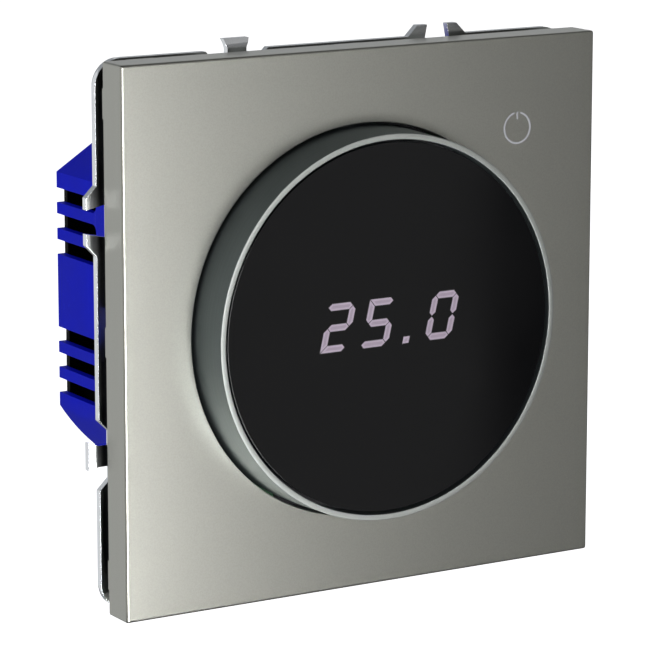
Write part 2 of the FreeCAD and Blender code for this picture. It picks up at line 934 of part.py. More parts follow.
def display_header():
    return header_block(display_header_pins, 0.0, display_header_z, display_board_rear,
                        display_board_rear + header_height)


def display_header_pins_set():
    return header_pins(display_header_pins, 0.0, display_header_z, display_board_front - pin_size,
                       control_board_rear + pin_size)


# --- Front chassis ---

def front_chassis():
    """Black frame on the strap that carries the hub, the boards and the plate."""
    body = rounded_block(chassis_size, chassis_size, chassis_corner_radius, chassis_front, strap_front)
    inner = chassis_size - 2 * chassis_rim_wall
    inner_radius = chassis_corner_radius - chassis_rim_wall
    body = body.cut(rounded_block(inner, inner, inner_radius, chassis_rear, strap_front + overcut))
    boss_places = corners(strap_screw_x, strap_screw_z) + corners(plate_peg_offset, plate_peg_offset)
    bosses = [rod(chassis_boss_radius, chassis_rear, strap_front, x, z) for x, z in boss_places]
    screw_bosses = [
        rod(chassis_boss_radius, chassis_rear, 0.0, x, z) for x, z in corners(housing_boss_x, housing_boss_z)
    ]
    board_posts = [
        rod(control_post_radius, chassis_rear, control_board_front, side * control_post_x, 0.0)
        for side in (-1, 1)
    ]
    body = fused([body] + bosses + screw_bosses + board_posts)
    outer = centred_box(0.0, 0.0, chassis_size, chassis_size, chassis_front, control_board_front)
    body = body.common(outer)
    for hole in chassis_holes():
        body = body.cut(hole)
    return body


def chassis_holes():
    through = (chassis_front - overcut, control_board_front + overcut)
    holes = [rod(box_screw_access_radius, *through, 0.0, box_screw_spacing / 2)]
    holes = [turned(holes[0], quarter * 90.0) for quarter in range(4)]
    bite = screw_shank_radius + screw_bite
    for x, z in corners(strap_screw_x, strap_screw_z):
        holes.append(rod(bite, strap_front - screw_bite_length - screw_bite, through[1], x, z))
    for x, z in corners(housing_boss_x, housing_boss_z):
        holes.append(rod(bite, -housing_screw_reach() - screw_bite, through[1], x, z))
    for side in (-1, 1):
        board_screw_end = control_board_front - screw_bite_length
        holes.append(rod(bite, board_screw_end, through[1], side * control_post_x, 0.0))
    for x, z in corners(plate_peg_offset, plate_peg_offset):
        holes.append(rod(plate_peg_radius + plate_peg_fit, *through, x, z))
        grip_rear = chassis_front + grip_ring_width + 2 * pin_fit
        holes.append(rod(grip_ring_radius + pin_fit, chassis_front - overcut, grip_rear, x, z))
    for x, z in hub_post_places():
        holes.append(rod(screw_shank_radius + screw_clearance, *through, x, z))
    holes.append(rod(encoder_bushing_radius + free_gap, *through, pinion_x, pinion_z))
    holes.append(display_header_way(*through))
    for half_turn in (0.0, 180.0):
        pocket = satellite_slab(-satellite_pocket_gap, chassis_front - overcut, satellite_board_rear)
        pocket = pocket.fuse(pin_slot(*through))
        holes.append(turned(pocket, half_turn))
    return holes


def pin_slot(y0, y1):
    places = satellite_pin_places()
    margin = pin_size / 2 + free_gap
    return box(places[0][0] - margin, places[-1][0] + margin, y0, y1,
               places[0][1] - margin, places[-1][1] + margin)


def peg_grip_rings():
    """Steel rings in the chassis that grip the plate's pegs."""
    front = chassis_front + pin_fit
    return [
        tube(grip_ring_radius, plate_peg_radius + plate_peg_fit, front, front + grip_ring_width, x, z)
        for x, z in corners(plate_peg_offset, plate_peg_offset)
    ]


def hub_screws():
    return [pan_screw(chassis_rear, x, z, screw_bite_length + chassis_plate_thickness, -1)
            for x, z in hub_post_places()]


# --- Rear housing ---

def housing_outline_face(inset, y):
    """Cross-section of the housing, drawn in by inset all round."""
    half = housing_half_width - inset
    top = housing_top - inset
    bottom = -housing_bottom + inset
    radius = housing_bottom_radius - inset
    run = housing_half_width - housing_top_half_width
    rise = housing_top - housing_side_top
    slope_length = math.hypot(run, rise)
    chamfer = (rise * housing_half_width + run * housing_side_top) / slope_length - inset
    chamfer_side_z = (chamfer * slope_length - rise * half) / run
    chamfer_top_x = (chamfer * slope_length - run * top) / rise
    arc_side_z = -math.sqrt(radius ** 2 - half ** 2)
    arc_bottom_x = math.sqrt(radius ** 2 - bottom ** 2)
    arc_middle = math.atan2(arc_side_z + bottom, half + arc_bottom_x)

    def point(x, z):
        return FreeCAD.Vector(x, y, z)

    def arc(side):
        middle = point(side * radius * math.cos(arc_middle), radius * math.sin(arc_middle))
        return Part.Arc(point(side * half, arc_side_z), middle, point(side * arc_bottom_x, bottom)).toShape()

    upper = [point(-half, arc_side_z), point(-half, chamfer_side_z), point(-chamfer_top_x, top),
             point(chamfer_top_x, top), point(half, chamfer_side_z), point(half, arc_side_z)]
    lines = [Part.makeLine(a, b) for a, b in zip(upper[:-1], upper[1:])]
    lines.append(Part.makeLine(point(-arc_bottom_x, bottom), point(arc_bottom_x, bottom)))
    edges = Part.__sortEdges__(lines + [arc(1), arc(-1)])
    return Part.Face(Part.Wire(edges))


def housing_prism(inset, y0, y1):
    return housing_outline_face(inset, y0).extrude(FreeCAD.Vector(0, y1 - y0, 0))


def vent_slots():
    """Round-ended slots through the side walls, open at the rear edge."""
    slots = []
    inner = housing_half_width - housing_wall
    for step in range(vents_each_way):
        low = vent_panel_half_height + step * (vent_slot_height + vent_rib_height)
        for z0 in (low, -low - vent_slot_height):
            middle = z0 + vent_slot_height / 2
            run = box(inner, inner + housing_wall + overcut, vent_slot_front + vent_slot_height / 2,
                      housing_depth + overcut, z0, z0 + vent_slot_height)
            end = Part.makeCylinder(
                vent_slot_height / 2, housing_wall + overcut,
                FreeCAD.Vector(inner, vent_slot_front + vent_slot_height / 2, middle),
                FreeCAD.Vector(1, 0, 0),
            )
            slot = run.fuse(end)
            slots += [slot, turned(slot, 180.0)]
    return slots


def rear_housing():
    shell = housing_prism(0.0, 0.0, housing_depth)
    shell = shell.cut(housing_prism(housing_wall, -overcut, housing_inner_rear))
    inner = housing_half_width - housing_wall
    features = [
        rod(housing_boss_radius, 0.0, housing_depth, x, z) for x, z in corners(housing_boss_x, housing_boss_z)
    ]
    for side in (-1, 1):
        x0, x1 = sorted((side * inner, side * (inner - ledge_reach)))
        features.append(box(x0 - ledge_bite, x1 + ledge_bite, power_board_rear,
                            power_board_rear + ledge_depth, -ledge_height / 2, ledge_height / 2))
    shell = fused([shell] + features)
    for slot in vent_slots():
        shell = shell.cut(slot)
    for hole in housing_holes():
        shell = shell.cut(hole)
    return shell


def housing_holes():
    holes = []
    for x, z in corners(housing_boss_x, housing_boss_z):
        holes.append(rod(housing_boss_counterbore, housing_boss_seat, housing_depth + overcut, x, z))
        holes.append(rod(screw_shank_radius + screw_clearance, -overcut, housing_depth, x, z))
    for x, z in power_screw_places():
        holes.append(rod(screw_shank_radius + screw_bite, power_board_front,
                         power_board_rear + screw_bite_length, x, z))
    for side, outer in terminal_ends():
        for x in pole_places():
            low, high = sorted((side * (outer - housing_wall - overcut), side * (outer + overcut)))
            holes.append(Part.makeCylinder(
                terminal_head_radius + terminal_head_fit, high - low,
                FreeCAD.Vector(x, terminal_y, low), FreeCAD.Vector(0, 0, 1),
            ))
            holes.append(centred_box(x, side * (outer - wire_depth()), wire_entry_size, wire_entry_size,
                                     housing_inner_rear - overcut, housing_depth + overcut))
    return holes


def housing_screw_reach():
    """How far the housing screws pass in front of the wall plane."""
    return strap_thickness + chassis_depth - chassis_plate_thickness


def housing_screws():
    length = housing_boss_seat + housing_screw_reach()
    return [
        pan_screw(housing_boss_seat, x, z, length, -1) for x, z in corners(housing_boss_x, housing_boss_z)
    ]


# --- Boards and the parts on them ---

def board_blank(y0, y1):
    blank = housing_prism(housing_wall + board_edge_gap, y0, y1)
    for x, z in corners(housing_boss_x, housing_boss_z):
        blank = blank.cut(rod(housing_boss_radius + board_boss_gap, y0 - overcut, y1 + overcut, x, z))
    return blank


def pin_hole(x, z, y0, y1):
    return centred_box(x, z, pin_size + pin_fit, pin_size + pin_fit, y0 - overcut, y1 + overcut)


def control_board():
    front, rear = control_board_front, control_board_rear
    board = board_blank(front, rear)
    places = header_pin_places(display_header_pins, 0.0, display_header_z)
    places += header_pin_places(link_pins, link_x, link_z)
    places += satellite_pin_places() + [(-x, -z) for x, z in satellite_pin_places()]
    for x, z in places:
        board = board.cut(pin_hole(x, z, front, rear))
    for side in (-1, 1):
        board = board.cut(rod(screw_shank_radius + screw_clearance, front - overcut, rear + overcut,
                              side * control_post_x, 0.0))
    return board


def control_board_screws():
    length = control_board_thickness + screw_bite_length
    return [pan_screw(control_board_rear, side * control_post_x, 0.0, length, -1) for side in (-1, 1)]


def radio_module():
    """Shielded processor and radio module."""
    carrier_rear = control_board_rear + radio_carrier_thickness
    carrier = centred_box(radio_carrier_x, radio_z, radio_carrier_width, radio_carrier_height,
                          control_board_rear, carrier_rear)
    can = centred_box(radio_can_x, radio_z, radio_can_width, radio_can_height,
                      carrier_rear, carrier_rear + radio_can_thickness)
    return fused([carrier, can])


def link_header():
    return header_block(link_pins, link_x, link_z, control_board_rear, control_board_rear + header_height)


def link_socket():
    return header_block(link_pins, link_x, link_z, control_board_rear + header_height + pin_fit,
                        power_board_front)


def link_pins_set():
    return header_pins(link_pins, link_x, link_z, control_board_front - pin_size,
                       power_board_front - pin_fit)


def power_board():
    front, rear = power_board_front, power_board_rear
    board = board_blank(front, rear)
    for x, z in power_screw_places():
        board = board.cut(rod(screw_shank_radius + screw_clearance, front - overcut, rear + overcut, x, z))
    for side, outer in terminal_ends():
        for x in pole_places():
            z = side * (outer - bar_depth() - bar_thickness / 2)
            board = board.cut(centred_box(x, z, bar_tail_width + pin_fit, bar_thickness + pin_fit,
                                          front - overcut, rear + overcut))
    return board


def power_screw_places():
    x = housing_half_width - housing_wall - ledge_reach / 2
    return [(x, 0.0), (-x, 0.0)]


def power_board_screws():
    length = power_board_thickness + screw_bite_length - screw_bite
    return [pan_screw(power_board_front, x, z, length, 1) for x, z in power_screw_places()]


def on_power_board(x, z, width, height, tall):
    return centred_box(x, z, width, height, power_board_rear, power_board_rear + tall)


def power_relay():
    case = on_power_board(relay_x, relay_z, relay_width, relay_depth, relay_tall)
    upright = [edge for edge in case.Edges if runs_along_depth(edge)]
    return case.makeFillet(relay_edge_round, upright)


def transformer_core():
    outer = on_power_board(transformer_x, transformer_z, core_width, core_height, core_tall)
    leg_offset = (core_leg_width + core_window_width) / 2
    for side in (-1, 1):
        window = centred_box(transformer_x + side * leg_offset, transformer_z, core_window_width,
                             core_height + overcut, power_board_rear + core_yoke,
                             power_board_rear + core_tall - core_yoke)
        outer = outer.cut(window)
    return outer


def transformer_winding():
    """Bobbin winding round the core's middle leg."""
    y0 = power_board_rear + core_yoke + winding_end_gap
    y1 = power_board_rear + core_tall - core_yoke - winding_end_gap
    width = core_leg_width + 2 * (winding_fit + winding_wall)
    height = core_height + 2 * (winding_end_fit + winding_end_wall)
    outer = centred_box(transformer_x, transformer_z, width, height, y0, y1)
    leg = centred_box(transformer_x, transformer_z, core_leg_width + 2 * winding_fit,
                      core_height + 2 * winding_end_fit, y0 - overcut, y1 + overcut)
    return outer.cut(leg)


def bulk_capacitors():
    return [capacitor_can(x, capacitor_z) for x in capacitor_places_x]


def capacitor_can(x, z):
    can = rod(capacitor_radius, power_board_rear, power_board_rear + capacitor_tall, x, z)
    far_end = [edge for edge in can.Edges if edge.BoundBox.YMin > power_board_rear + capacitor_tall / 2]
    return can.makeFillet(capacitor_edge_round, far_end)


def film_capacitor():
    return on_power_board(transformer_x, film_box_z, film_box_width, film_box_height, film_box_tall)


def surge_varistor():
    centre = FreeCAD.Vector(varistor_x, power_board_rear + varistor_lift, varistor_z)
    disc = Part.makeCylinder(varistor_radius, varistor_thickness, centre, FreeCAD.Vector(1, 0, 0))
    leads = [
        centred_box(varistor_x + varistor_thickness / 2, varistor_z + side * varistor_lead_offset,
                    varistor_lead_width, varistor_lead_width, power_board_rear,
                    power_board_rear + varistor_lead_length)
        for side in (-1, 1)
    ]
    return fused([disc] + leads)


def board_fuse():
    return rod(fuse_radius, power_board_rear, power_board_rear + fuse_tall, fuse_x, fuse_z)


def bridge_rectifier():
    return centred_box(rectifier_x, rectifier_z, rectifier_width, rectifier_height,
                       power_board_front - rectifier_thickness, power_board_front)


# --- Terminals ---

def terminal_ends():
    return [(1, housing_top), (-1, housing_bottom)]


def pole_places():
    start = -pole_pitch * (poles_each_end - 1) / 2
    return [start + pole_pitch * step for step in range(poles_each_end)]


def head_depth():
    """Depth of the screw head's underside below the housing's outer face."""
    return terminal_screw_recess + terminal_head_height


def deck_depth():
    return head_depth() + terminal_seat_fit + terminal_deck


def bar_depth():
    return head_depth() + terminal_shank_length + pin_fit


def cage_floor_depth():
    return bar_depth() + bar_thickness + wire_space


def cage_top_depth():
    closed_top = deck_depth() + free_gap
    return closed_top + terminal_cage_travel


def wire_depth():
    return bar_depth() + bar_thickness + wire_space / 2


def zone(side, outer, depth_0, depth_1, x, width, y0, y1):
    """Box between two depths below the housing's outer face."""
    z0, z1 = sorted((side * (outer - depth_0), side * (outer - depth_1)))
    return box(x - width / 2, x + width / 2, y0, y1, z0, z1)


def upright_rod(side, outer, depth_0, depth_1, x, radius):
    z0, z1 = sorted((side * (outer - depth_0), side * (outer - depth_1)))
    return Part.makeCylinder(radius, z1 - z0, FreeCAD.Vector(x, terminal_y, z0), FreeCAD.Vector(0, 0, 1))


def terminal_block(side, outer):
    top = housing_wall + terminal_block_wall_gap
    chamber_floor = cage_floor_depth() + cage_floor_thickness + free_gap
    width = pole_pitch * poles_each_end
    block = zone(side, outer, top, top + terminal_block_height, 0.0, width, power_board_rear,
                 terminal_block_rear)
    half_cage = cage_length / 2 + cage_side_fit
    for x in pole_places():
        block = block.cut(upright_rod(side, outer, -overcut, head_depth() + terminal_seat_fit, x,
                                      terminal_head_radius + terminal_head_fit))
        block = block.cut(upright_rod(side, outer, 0.0, deck_depth() + overcut, x,
                                      terminal_shank_radius + terminal_thread_fit))
        block = block.cut(zone(side, outer, deck_depth(), chamber_floor, x, cage_width + 2 * cage_side_fit,
                               terminal_y - half_cage, terminal_y + half_cage))
        block = block.cut(zone(side, outer, wire_depth() - wire_entry_size / 2,
                               wire_depth() + wire_entry_size / 2, x, wire_entry_size,
                               terminal_y, terminal_block_rear + overcut))
        block = block.cut(zone(side, outer, bar_depth() - pin_fit / 2,
                               bar_depth() + bar_thickness + pin_fit / 2, x, bar_tail_width + pin_fit,
                               power_board_rear - overcut, terminal_y))
    return block


def terminal_bars(side, outer):
    bars = []
    half_cage = cage_length / 2
    for x in pole_places():
        plate = zone(side, outer, bar_depth(), bar_depth() + bar_thickness, x, bar_width,
                     terminal_y - half_cage, terminal_y + half_cage)
        tail = zone(side, outer, bar_depth(), bar_depth() + bar_thickness, x, bar_tail_width,
                    power_board_front - pin_size, terminal_y)
        bars.append(fused([plate, tail]))
    return bars


def terminal_screw(side, outer, x):
    head = upright_rod(side, outer, terminal_screw_recess, head_depth(), x, terminal_head_radius)
    shank = upright_rod(side, outer, head_depth(), head_depth() + terminal_shank_length, x,
                        terminal_shank_radius)
    body = fused([head, shank])
    slot_floor = terminal_screw_recess + terminal_head_height / 2
    slot = zone(side, outer, terminal_screw_recess - overcut, slot_floor, x, 2 * terminal_head_radius + overcut,
                terminal_y - terminal_slot_width / 2, terminal_y + terminal_slot_width / 2)
    return body.cut(slot)


def terminal_cage(side, outer, x):
    """Steel loop that the screw draws outward to clamp the wire against the bar."""
    half = cage_length / 2
    loop = zone(side, outer, cage_top_depth(), cage_floor_depth() + cage_floor_thickness, x, cage_width,
                terminal_y - half, terminal_y + half)
    loop = loop.cut(zone(side, outer, cage_top_depth() + cage_nut_thickness, cage_floor_depth(), x,
                         cage_width - 2 * cage_wall, terminal_y - half - overcut, terminal_y + half + overcut))
    return loop.cut(upright_rod(side, outer, cage_top_depth() - overcut,
                                cage_top_depth() + cage_nut_thickness + overcut, x,
                                terminal_shank_radius + terminal_thread_fit))


# --- Write every piece ---

def build():
    os.makedirs("parts", exist_ok=True)
    save("mounting_strap", mounting_strap())
    save("strap_screws", strap_screws())
    save("front_plate", front_plate())
    save("symbol_light_guide", symbol_light_guide())
    save("touch_board", satellite_board())
    save("satellite_pins", satellite_pins_set() + [turned(pin, 180.0) for pin in satellite_pins_set()])
    save("touch_electrode", touch_electrode())
    save("power_led", power_led())
    save("sensor_board", turned(satellite_board(), 180.0))
    save("room_sensor", room_sensor())
    save("dial_ring", dial_ring())
    save("dial_carrier", dial_carrier())
    save("encoder_pinion", dial_pinion())
    save("encoder_shaft", encoder_shaft())
    save("encoder_body", encoder_body())
    save("glide_washer", glide_washer())
    save("dial_hub", dial_hub())
    save("hub_screws", hub_screws())
    save("display_window", display_window())
    save("display_segments", lit_bars(0.0, window_front, window_rear))
    save("display_light_box", display_light_box())
    save("display_lights", display_lights())
    save("display_board", display_board())
    save("display_header", display_header())
    save("display_header_pins", display_header_pins_set())
    save("front_chassis", front_chassis())
    save("peg_grip_rings", peg_grip_rings())
    save("rear_housing", rear_housing())
    save("housing_screws", housing_screws())
    save("control_board", control_board())
    save("control_board_screws", control_board_screws())
    save("radio_module", radio_module())
    save("link_header", link_header())
    save("link_socket", link_socket())
    save("link_pins", link_pins_set())
    save("power_board", power_board())
    save("power_board_screws", power_board_screws())
    save("power_relay", power_relay())
    save("transformer_core", transformer_core())
    save("transformer_winding", transformer_winding())
    save("bulk_capacitors", bulk_capacitors())
    save("film_capacitor", film_capacitor())
    save("surge_varistor", surge_varistor())
    save("board_fuse", board_fuse())
    save("bridge_rectifier", bridge_rectifier())
    pole = 0
    save("terminal_bars", [bar for end in terminal_ends() for bar in terminal_bars(*end)])
    for end_name, (side, outer) in zip(("top", "bottom"), terminal_ends()):
        save(end_name + "_terminal_block", terminal_block(side, outer))
        for x in pole_places():
            pole += 1
            save("terminal_screw_" + str(pole), terminal_screw(side, outer, x))
            save("terminal_cage_" + str(pole), terminal_cage(side, outer, x))


build()
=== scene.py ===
import json
import math

import bmesh
import bpy
from mathutils import Matrix, Vector


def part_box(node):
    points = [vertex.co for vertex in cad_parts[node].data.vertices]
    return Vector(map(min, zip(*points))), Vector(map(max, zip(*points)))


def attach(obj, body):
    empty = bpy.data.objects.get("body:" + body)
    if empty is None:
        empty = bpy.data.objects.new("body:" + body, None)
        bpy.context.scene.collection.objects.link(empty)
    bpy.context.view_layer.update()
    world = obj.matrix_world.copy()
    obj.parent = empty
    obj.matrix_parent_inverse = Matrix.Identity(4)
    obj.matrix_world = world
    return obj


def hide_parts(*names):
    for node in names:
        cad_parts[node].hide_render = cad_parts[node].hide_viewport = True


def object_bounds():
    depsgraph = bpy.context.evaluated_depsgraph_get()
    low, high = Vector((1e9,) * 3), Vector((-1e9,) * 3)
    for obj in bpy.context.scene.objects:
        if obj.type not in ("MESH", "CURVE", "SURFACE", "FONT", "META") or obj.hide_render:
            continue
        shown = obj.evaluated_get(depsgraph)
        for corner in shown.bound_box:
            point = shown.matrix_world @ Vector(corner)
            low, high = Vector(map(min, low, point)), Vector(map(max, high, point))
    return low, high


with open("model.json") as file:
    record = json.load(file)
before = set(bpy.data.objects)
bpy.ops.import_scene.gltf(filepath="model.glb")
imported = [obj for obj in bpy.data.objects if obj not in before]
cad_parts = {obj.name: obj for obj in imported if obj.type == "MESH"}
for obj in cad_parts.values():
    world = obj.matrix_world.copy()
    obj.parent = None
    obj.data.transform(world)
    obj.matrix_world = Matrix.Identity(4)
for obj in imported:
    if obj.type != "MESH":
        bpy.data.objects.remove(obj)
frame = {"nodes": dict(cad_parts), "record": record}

bl_info = {
    "name": "Wall Thermostat Finishes",
    "version": (1, 0, 0),
    "blender": (4, 5, 0),
    "location": "3D View > Sidebar > Thermostat",
    "description": "Finished pieces and materials for a flush wall thermostat with a turning dial",
    "category": "Add Mesh",
}

# The device faces -Y and stands upright along Z. The wall plane is Y = 0.
# Every place comes from the frame's boxes; lengths below are in metres.
MM = 0.001
CAD_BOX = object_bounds()

PLATE_LOW, PLATE_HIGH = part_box("front_plate")
DIAL_LOW, DIAL_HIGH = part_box("dial_ring")
WINDOW_LOW, WINDOW_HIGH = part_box("display_window")
DIGITS_LOW, DIGITS_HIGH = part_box("display_segments")
SYMBOL_LOW, SYMBOL_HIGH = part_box("symbol_light_guide")
STRAP_LOW, STRAP_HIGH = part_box("mounting_strap")
STRAP_SCREWS_LOW, STRAP_SCREWS_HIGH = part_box("strap_screws")
HOUSING_LOW, HOUSING_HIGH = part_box("rear_housing")
HOUSING_SCREWS_LOW, HOUSING_SCREWS_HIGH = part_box("housing_screws")


def linear(hex_colour):
    """Linear RGBA of an sRGB colour written as six hex digits."""
    parts = [int(hex_colour[i:i + 2], 16) / 255 for i in (0, 2, 4)]
    rgb = [c / 12.92 if c <= 0.04045 else ((c + 0.055) / 1.055) ** 2.4 for c in parts]
    return (*rgb, 1.0)


def length(name, description, default):
    return bpy.props.FloatProperty(
        name=name, description=description, default=default, unit="LENGTH", subtype="DISTANCE",
        precision=5,
    )


def angle(name, description, default):
    return bpy.props.FloatProperty(
        name=name, description=description, default=default, unit="ROTATION", subtype="ANGLE"
    )


def colour(name, description, hex_colour):
    return bpy.props.FloatVectorProperty(
        name=name, description=description, default=linear(hex_colour), size=4, min=0.0, max=1.0,
        subtype="COLOR",
    )


# ---------------------------------------------------------------- settings


class PlateSettings(bpy.types.PropertyGroup):
    depth: length("Depth", "Front face to rear edge of the skirt", 4.6 * MM)
    front_wall: length("Front wall", "Thickness behind the front face", 1.6 * MM)
    skirt_wall: length("Skirt wall", "Thickness of the four side walls", 1.4 * MM)
    edge_round: length("Edge round", "Radius of the outer edges", 0.35 * MM)
    mouth_round: length("Mouth round", "Radius at the mouth of the dial's hole", 0.12 * MM)
    hole_gap: length("Hole gap", "Gap between the dial and the plate's hole", 0.45 * MM)
    collar_wall: length("Collar wall", "Wall of the collar behind the hole", 1.2 * MM)
    collar_depth: length("Collar depth", "Reach of the collar behind the front wall", 1.0 * MM)
    peg_offset: length("Peg offset", "Distance of each peg from the middle, both ways", 29.0 * MM)
    peg_radius: length("Peg radius", "Radius of the four pegs", 1.45 * MM)
    land_length: length("Land length", "Length of each low land on the rear edge", 3.8 * MM)
    land_height: length("Land height", "How proud each land stands", 0.25 * MM)
    land_offset: length("Land offset", "Outer lands from the middle of a side", 29.8 * MM)
    lacquer: colour("Lacquer", "Metallic lacquer of the plate", "A6A69E")


class DialSettings(bpy.types.PropertyGroup):
    front_radius: length("Front radius", "Outer radius at the front of the ring", 24.8 * MM)
    rim_width: length("Rim width", "Width of the ring's front face", 0.74 * MM)
    rim_round: length("Rim round", "Radius of the rim's outer edge", 0.07 * MM)
    inner_round: length("Inner round", "Radius of the rim's inner edge", 0.05 * MM)
    metal: colour("Metal", "Bright turned rim", "9A9A94")
    # The side's darker tone is painted shade, where the side turns away from the light.
    side_painted_shade: colour("Side painted shade", "Side of the ring, painted darker as painted shade", "7F888A")
    window_round: length("Window round", "Radius of the window's front edge", 0.04 * MM)
    acrylic: colour("Acrylic", "Smoked window", "060607")


class DisplaySettings(bpy.types.PropertyGroup):
    digit_height: length("Digit height", "Middle of the top bar to the bottom bar's", 5.28 * MM)
    digit_width: length("Digit width", "Between the middles of the upright bars", 3.14 * MM)
    bar_width: length("Bar width", "Width of a lit bar", 0.84 * MM)
    bar_gap: length("Bar gap", "Inset of each bar's end", 0.075 * MM)
    mask_margin: length("Mask margin", "Black line round each bar", 0.08 * MM)
    slant: angle("Slant", "Lean of the digits to the right", math.radians(13.0))
    light: colour("Light", "Colour of the lit bars", "A899AB")
    core_inset: length("Core inset", "Bright border round the core of each bar", 0.24 * MM)
    symbol_radius: length("Symbol radius", "Middle of the power symbol's ring", 2.0 * MM)
    symbol_line: length("Symbol line", "Line width of the power symbol", 0.25 * MM)
    symbol_bar: length("Symbol bar", "Length of the power symbol's bar", 1.0 * MM)
    symbol_gap: angle(
        "Symbol gap", "Half the angle left open at the top of the ring", math.radians(13.0)
    )
    symbol_tone: colour("Symbol tone", "Colour of the power symbol", "96969B")


class StrapSettings(bpy.types.PropertyGroup):
    edge_break: length("Edge break", "Small round along the sheared edges", 0.03 * MM)
    zinc: colour("Zinc", "Zinc-plated steel", "ECEEF0")
    screw_head: length("Screw head radius", "Radius of the countersunk heads", 1.8 * MM)
    screw_shank: length("Screw shank radius", "Radius of the threaded shanks", 0.9 * MM)
    screw_recess: length("Screw recess", "Length of each arm of the cross recess", 2.0 * MM)
    screw_recess_width: length("Recess width", "Width of each arm of the cross recess", 0.45 * MM)
    screw_recess_depth: length("Recess depth", "Depth of the cross recess", 0.6 * MM)
    steel: colour("Screw steel", "Zinc-plated screws", "BFC2C6")


class HousingSettings(bpy.types.PropertyGroup):
    wall: length("Wall", "Thickness of the side walls", 1.1 * MM)
    rear_wall: length("Rear wall", "Thickness of the rear wall", 1.0 * MM)
    side_top: length("Side top", "Height at which the upright sides end", 16.0 * MM)
    top_half_width: length("Top half width", "Half the width of the flat top", 11.1 * MM)
    lower_radius: length("Lower radius", "Radius of the rounded lower part", 29.0 * MM)
    boss_x: length("Boss X", "Distance of the screw bosses left and right of the middle", 18.5 * MM)
    boss_z: length("Boss Z", "Distance of the screw bosses above and below the middle", 15.0 * MM)
    boss_bore: length("Boss bore", "Radius of the bore over each screw head", 2.2 * MM)
    head_height: length("Head height", "Height of the pan heads", 1.2 * MM)
    edge_break: length("Edge break", "Small round along the moulded edges", 0.06 * MM)
    plastic: colour("Plastic", "Moulded blue housing", "0E1EF0")


class StageSettings(bpy.types.PropertyGroup):
    azimuth: angle("Azimuth", "Turn of the camera's view away from straight on", 0.54421)
    elevation: angle("Elevation", "Height angle of the camera", 0.20063)
    lens: bpy.props.FloatProperty(
        name="Lens", description="Focal length in millimetres", default=196.94
    )
    floor_drop: length("Floor drop", "Floor below the device", 60.0 * MM)
    floor_tone: colour("Floor", "Pale floor", "FFFFFF")


# ---------------------------------------------------------------- meshes

# Creases below the first angle are shaded smooth; creases above the second get a small round.
SMOOTH_ANGLE = math.radians(32.0)
CREASE_ANGLE = math.radians(35.0)
# Faces that turn less than this are one flat face of the node.
FLAT_ANGLE = math.radians(0.6)
# Points of a node's loose triangles that lie this near are one point.
MERGE_DISTANCE = 0.002 * MM
# Steps of a small round, and steps round each round piece.
ROUND_STEPS = 5
RING_STEPS = 360
WINDOW_STEPS = 256
SYMBOL_STEPS = 96
PAD_STEPS = 64
SCREW_STEPS = 48
PEG_STEPS = 32


def place(name, data):
    """New object in the scene, at the origin."""
    item = bpy.data.objects.new(name, data)
    bpy.context.scene.collection.objects.link(item)
    return item


def new_object(name, bm):
    mesh = bpy.data.meshes.new(name)
    bm.to_mesh(mesh)
    bm.free()
    return place(name, mesh)


def outline_object(name, points, edges=()):
    """Bare points and edges, for a Geometry Nodes tree to turn into a piece."""
    mesh = bpy.data.meshes.new(name)
    mesh.from_pydata(points, edges, [])
    return place(name, mesh)


def close_and_face_out(bm):
    bmesh.ops.remove_doubles(bm, verts=bm.verts, dist=1e-7)
    bmesh.ops.recalc_face_normals(bm, faces=bm.faces)


def shade_smooth(piece, weighted=True):
    """Smooth shading that keeps creases, and where weighted keeps wide faces flat beside rounds."""
    bm = bmesh.new()
    bm.from_mesh(piece.data)
    for face in bm.faces:
        face.smooth = True
    for edge in bm.edges:
        edge.smooth = len(edge.link_faces) == 2 and edge.calc_face_angle(0.0) < SMOOTH_ANGLE
    bm.to_mesh(piece.data)
    bm.free()
    if weighted:
        piece.modifiers.new("Weighted normals", "WEIGHTED_NORMAL").keep_sharp = True
        apply_modifiers(piece)


def apply_modifiers(piece):
    depsgraph = bpy.context.evaluated_depsgraph_get()
    depsgraph.update()
    result = bpy.data.meshes.new_from_object(
        piece.evaluated_get(depsgraph), preserve_all_data_layers=True, depsgraph=depsgraph
    )
    old = piece.data
    piece.modifiers.clear()
    piece.data = result
    result.name = piece.name
    bpy.data.meshes.remove(old)


def add_prism(bm, outline, y0, y1):
    """Closed prism on an outline of (x, z) points."""
    front = [bm.verts.new((x, y0, z)) for x, z in outline]
    rear = [bm.verts.new((x, y1, z)) for x, z in outline]
    bm.faces.new(front)
    bm.faces.new(rear[::-1])
    for i in range(len(outline)):
        j = (i + 1) % len(outline)
        bm.faces.new((front[i], rear[i], rear[j], front[j]))


def add_box(bm, low, high):
    corners = [(low[0], low[2]), (high[0], low[2]), (high[0], high[2]), (low[0], high[2])]
    add_prism(bm, corners, low[1], high[1])


def add_loops(bm, loops, joined):
    """Quads through loops that all have the same number of points.

    The last loop is joined to the first, or else both are capped.
    """
    rings = [[bm.verts.new(p) for p in loop] for loop in loops]
    for ring, following in zip(rings, rings[1:] + rings[:1] if joined else rings[1:]):
        for i in range(len(ring)):
            j = (i + 1) % len(ring)
            bm.faces.new((ring[i], ring[j], following[j], following[i]))
    if not joined:
        bm.faces.new(rings[0])
        bm.faces.new(rings[-1][::-1])


def arc_points(cx, cz, radius, start, end, count):
    steps = [start + (end - start) * i / count for i in range(count + 1)]
    return [(cx + radius * math.cos(a), cz + radius * math.sin(a)) for a in steps]


def circle_points(radius, count, x=0.0, z=0.0):
    return arc_points(x, z, radius, 0.0, 2 * math.pi, count)[:-1]


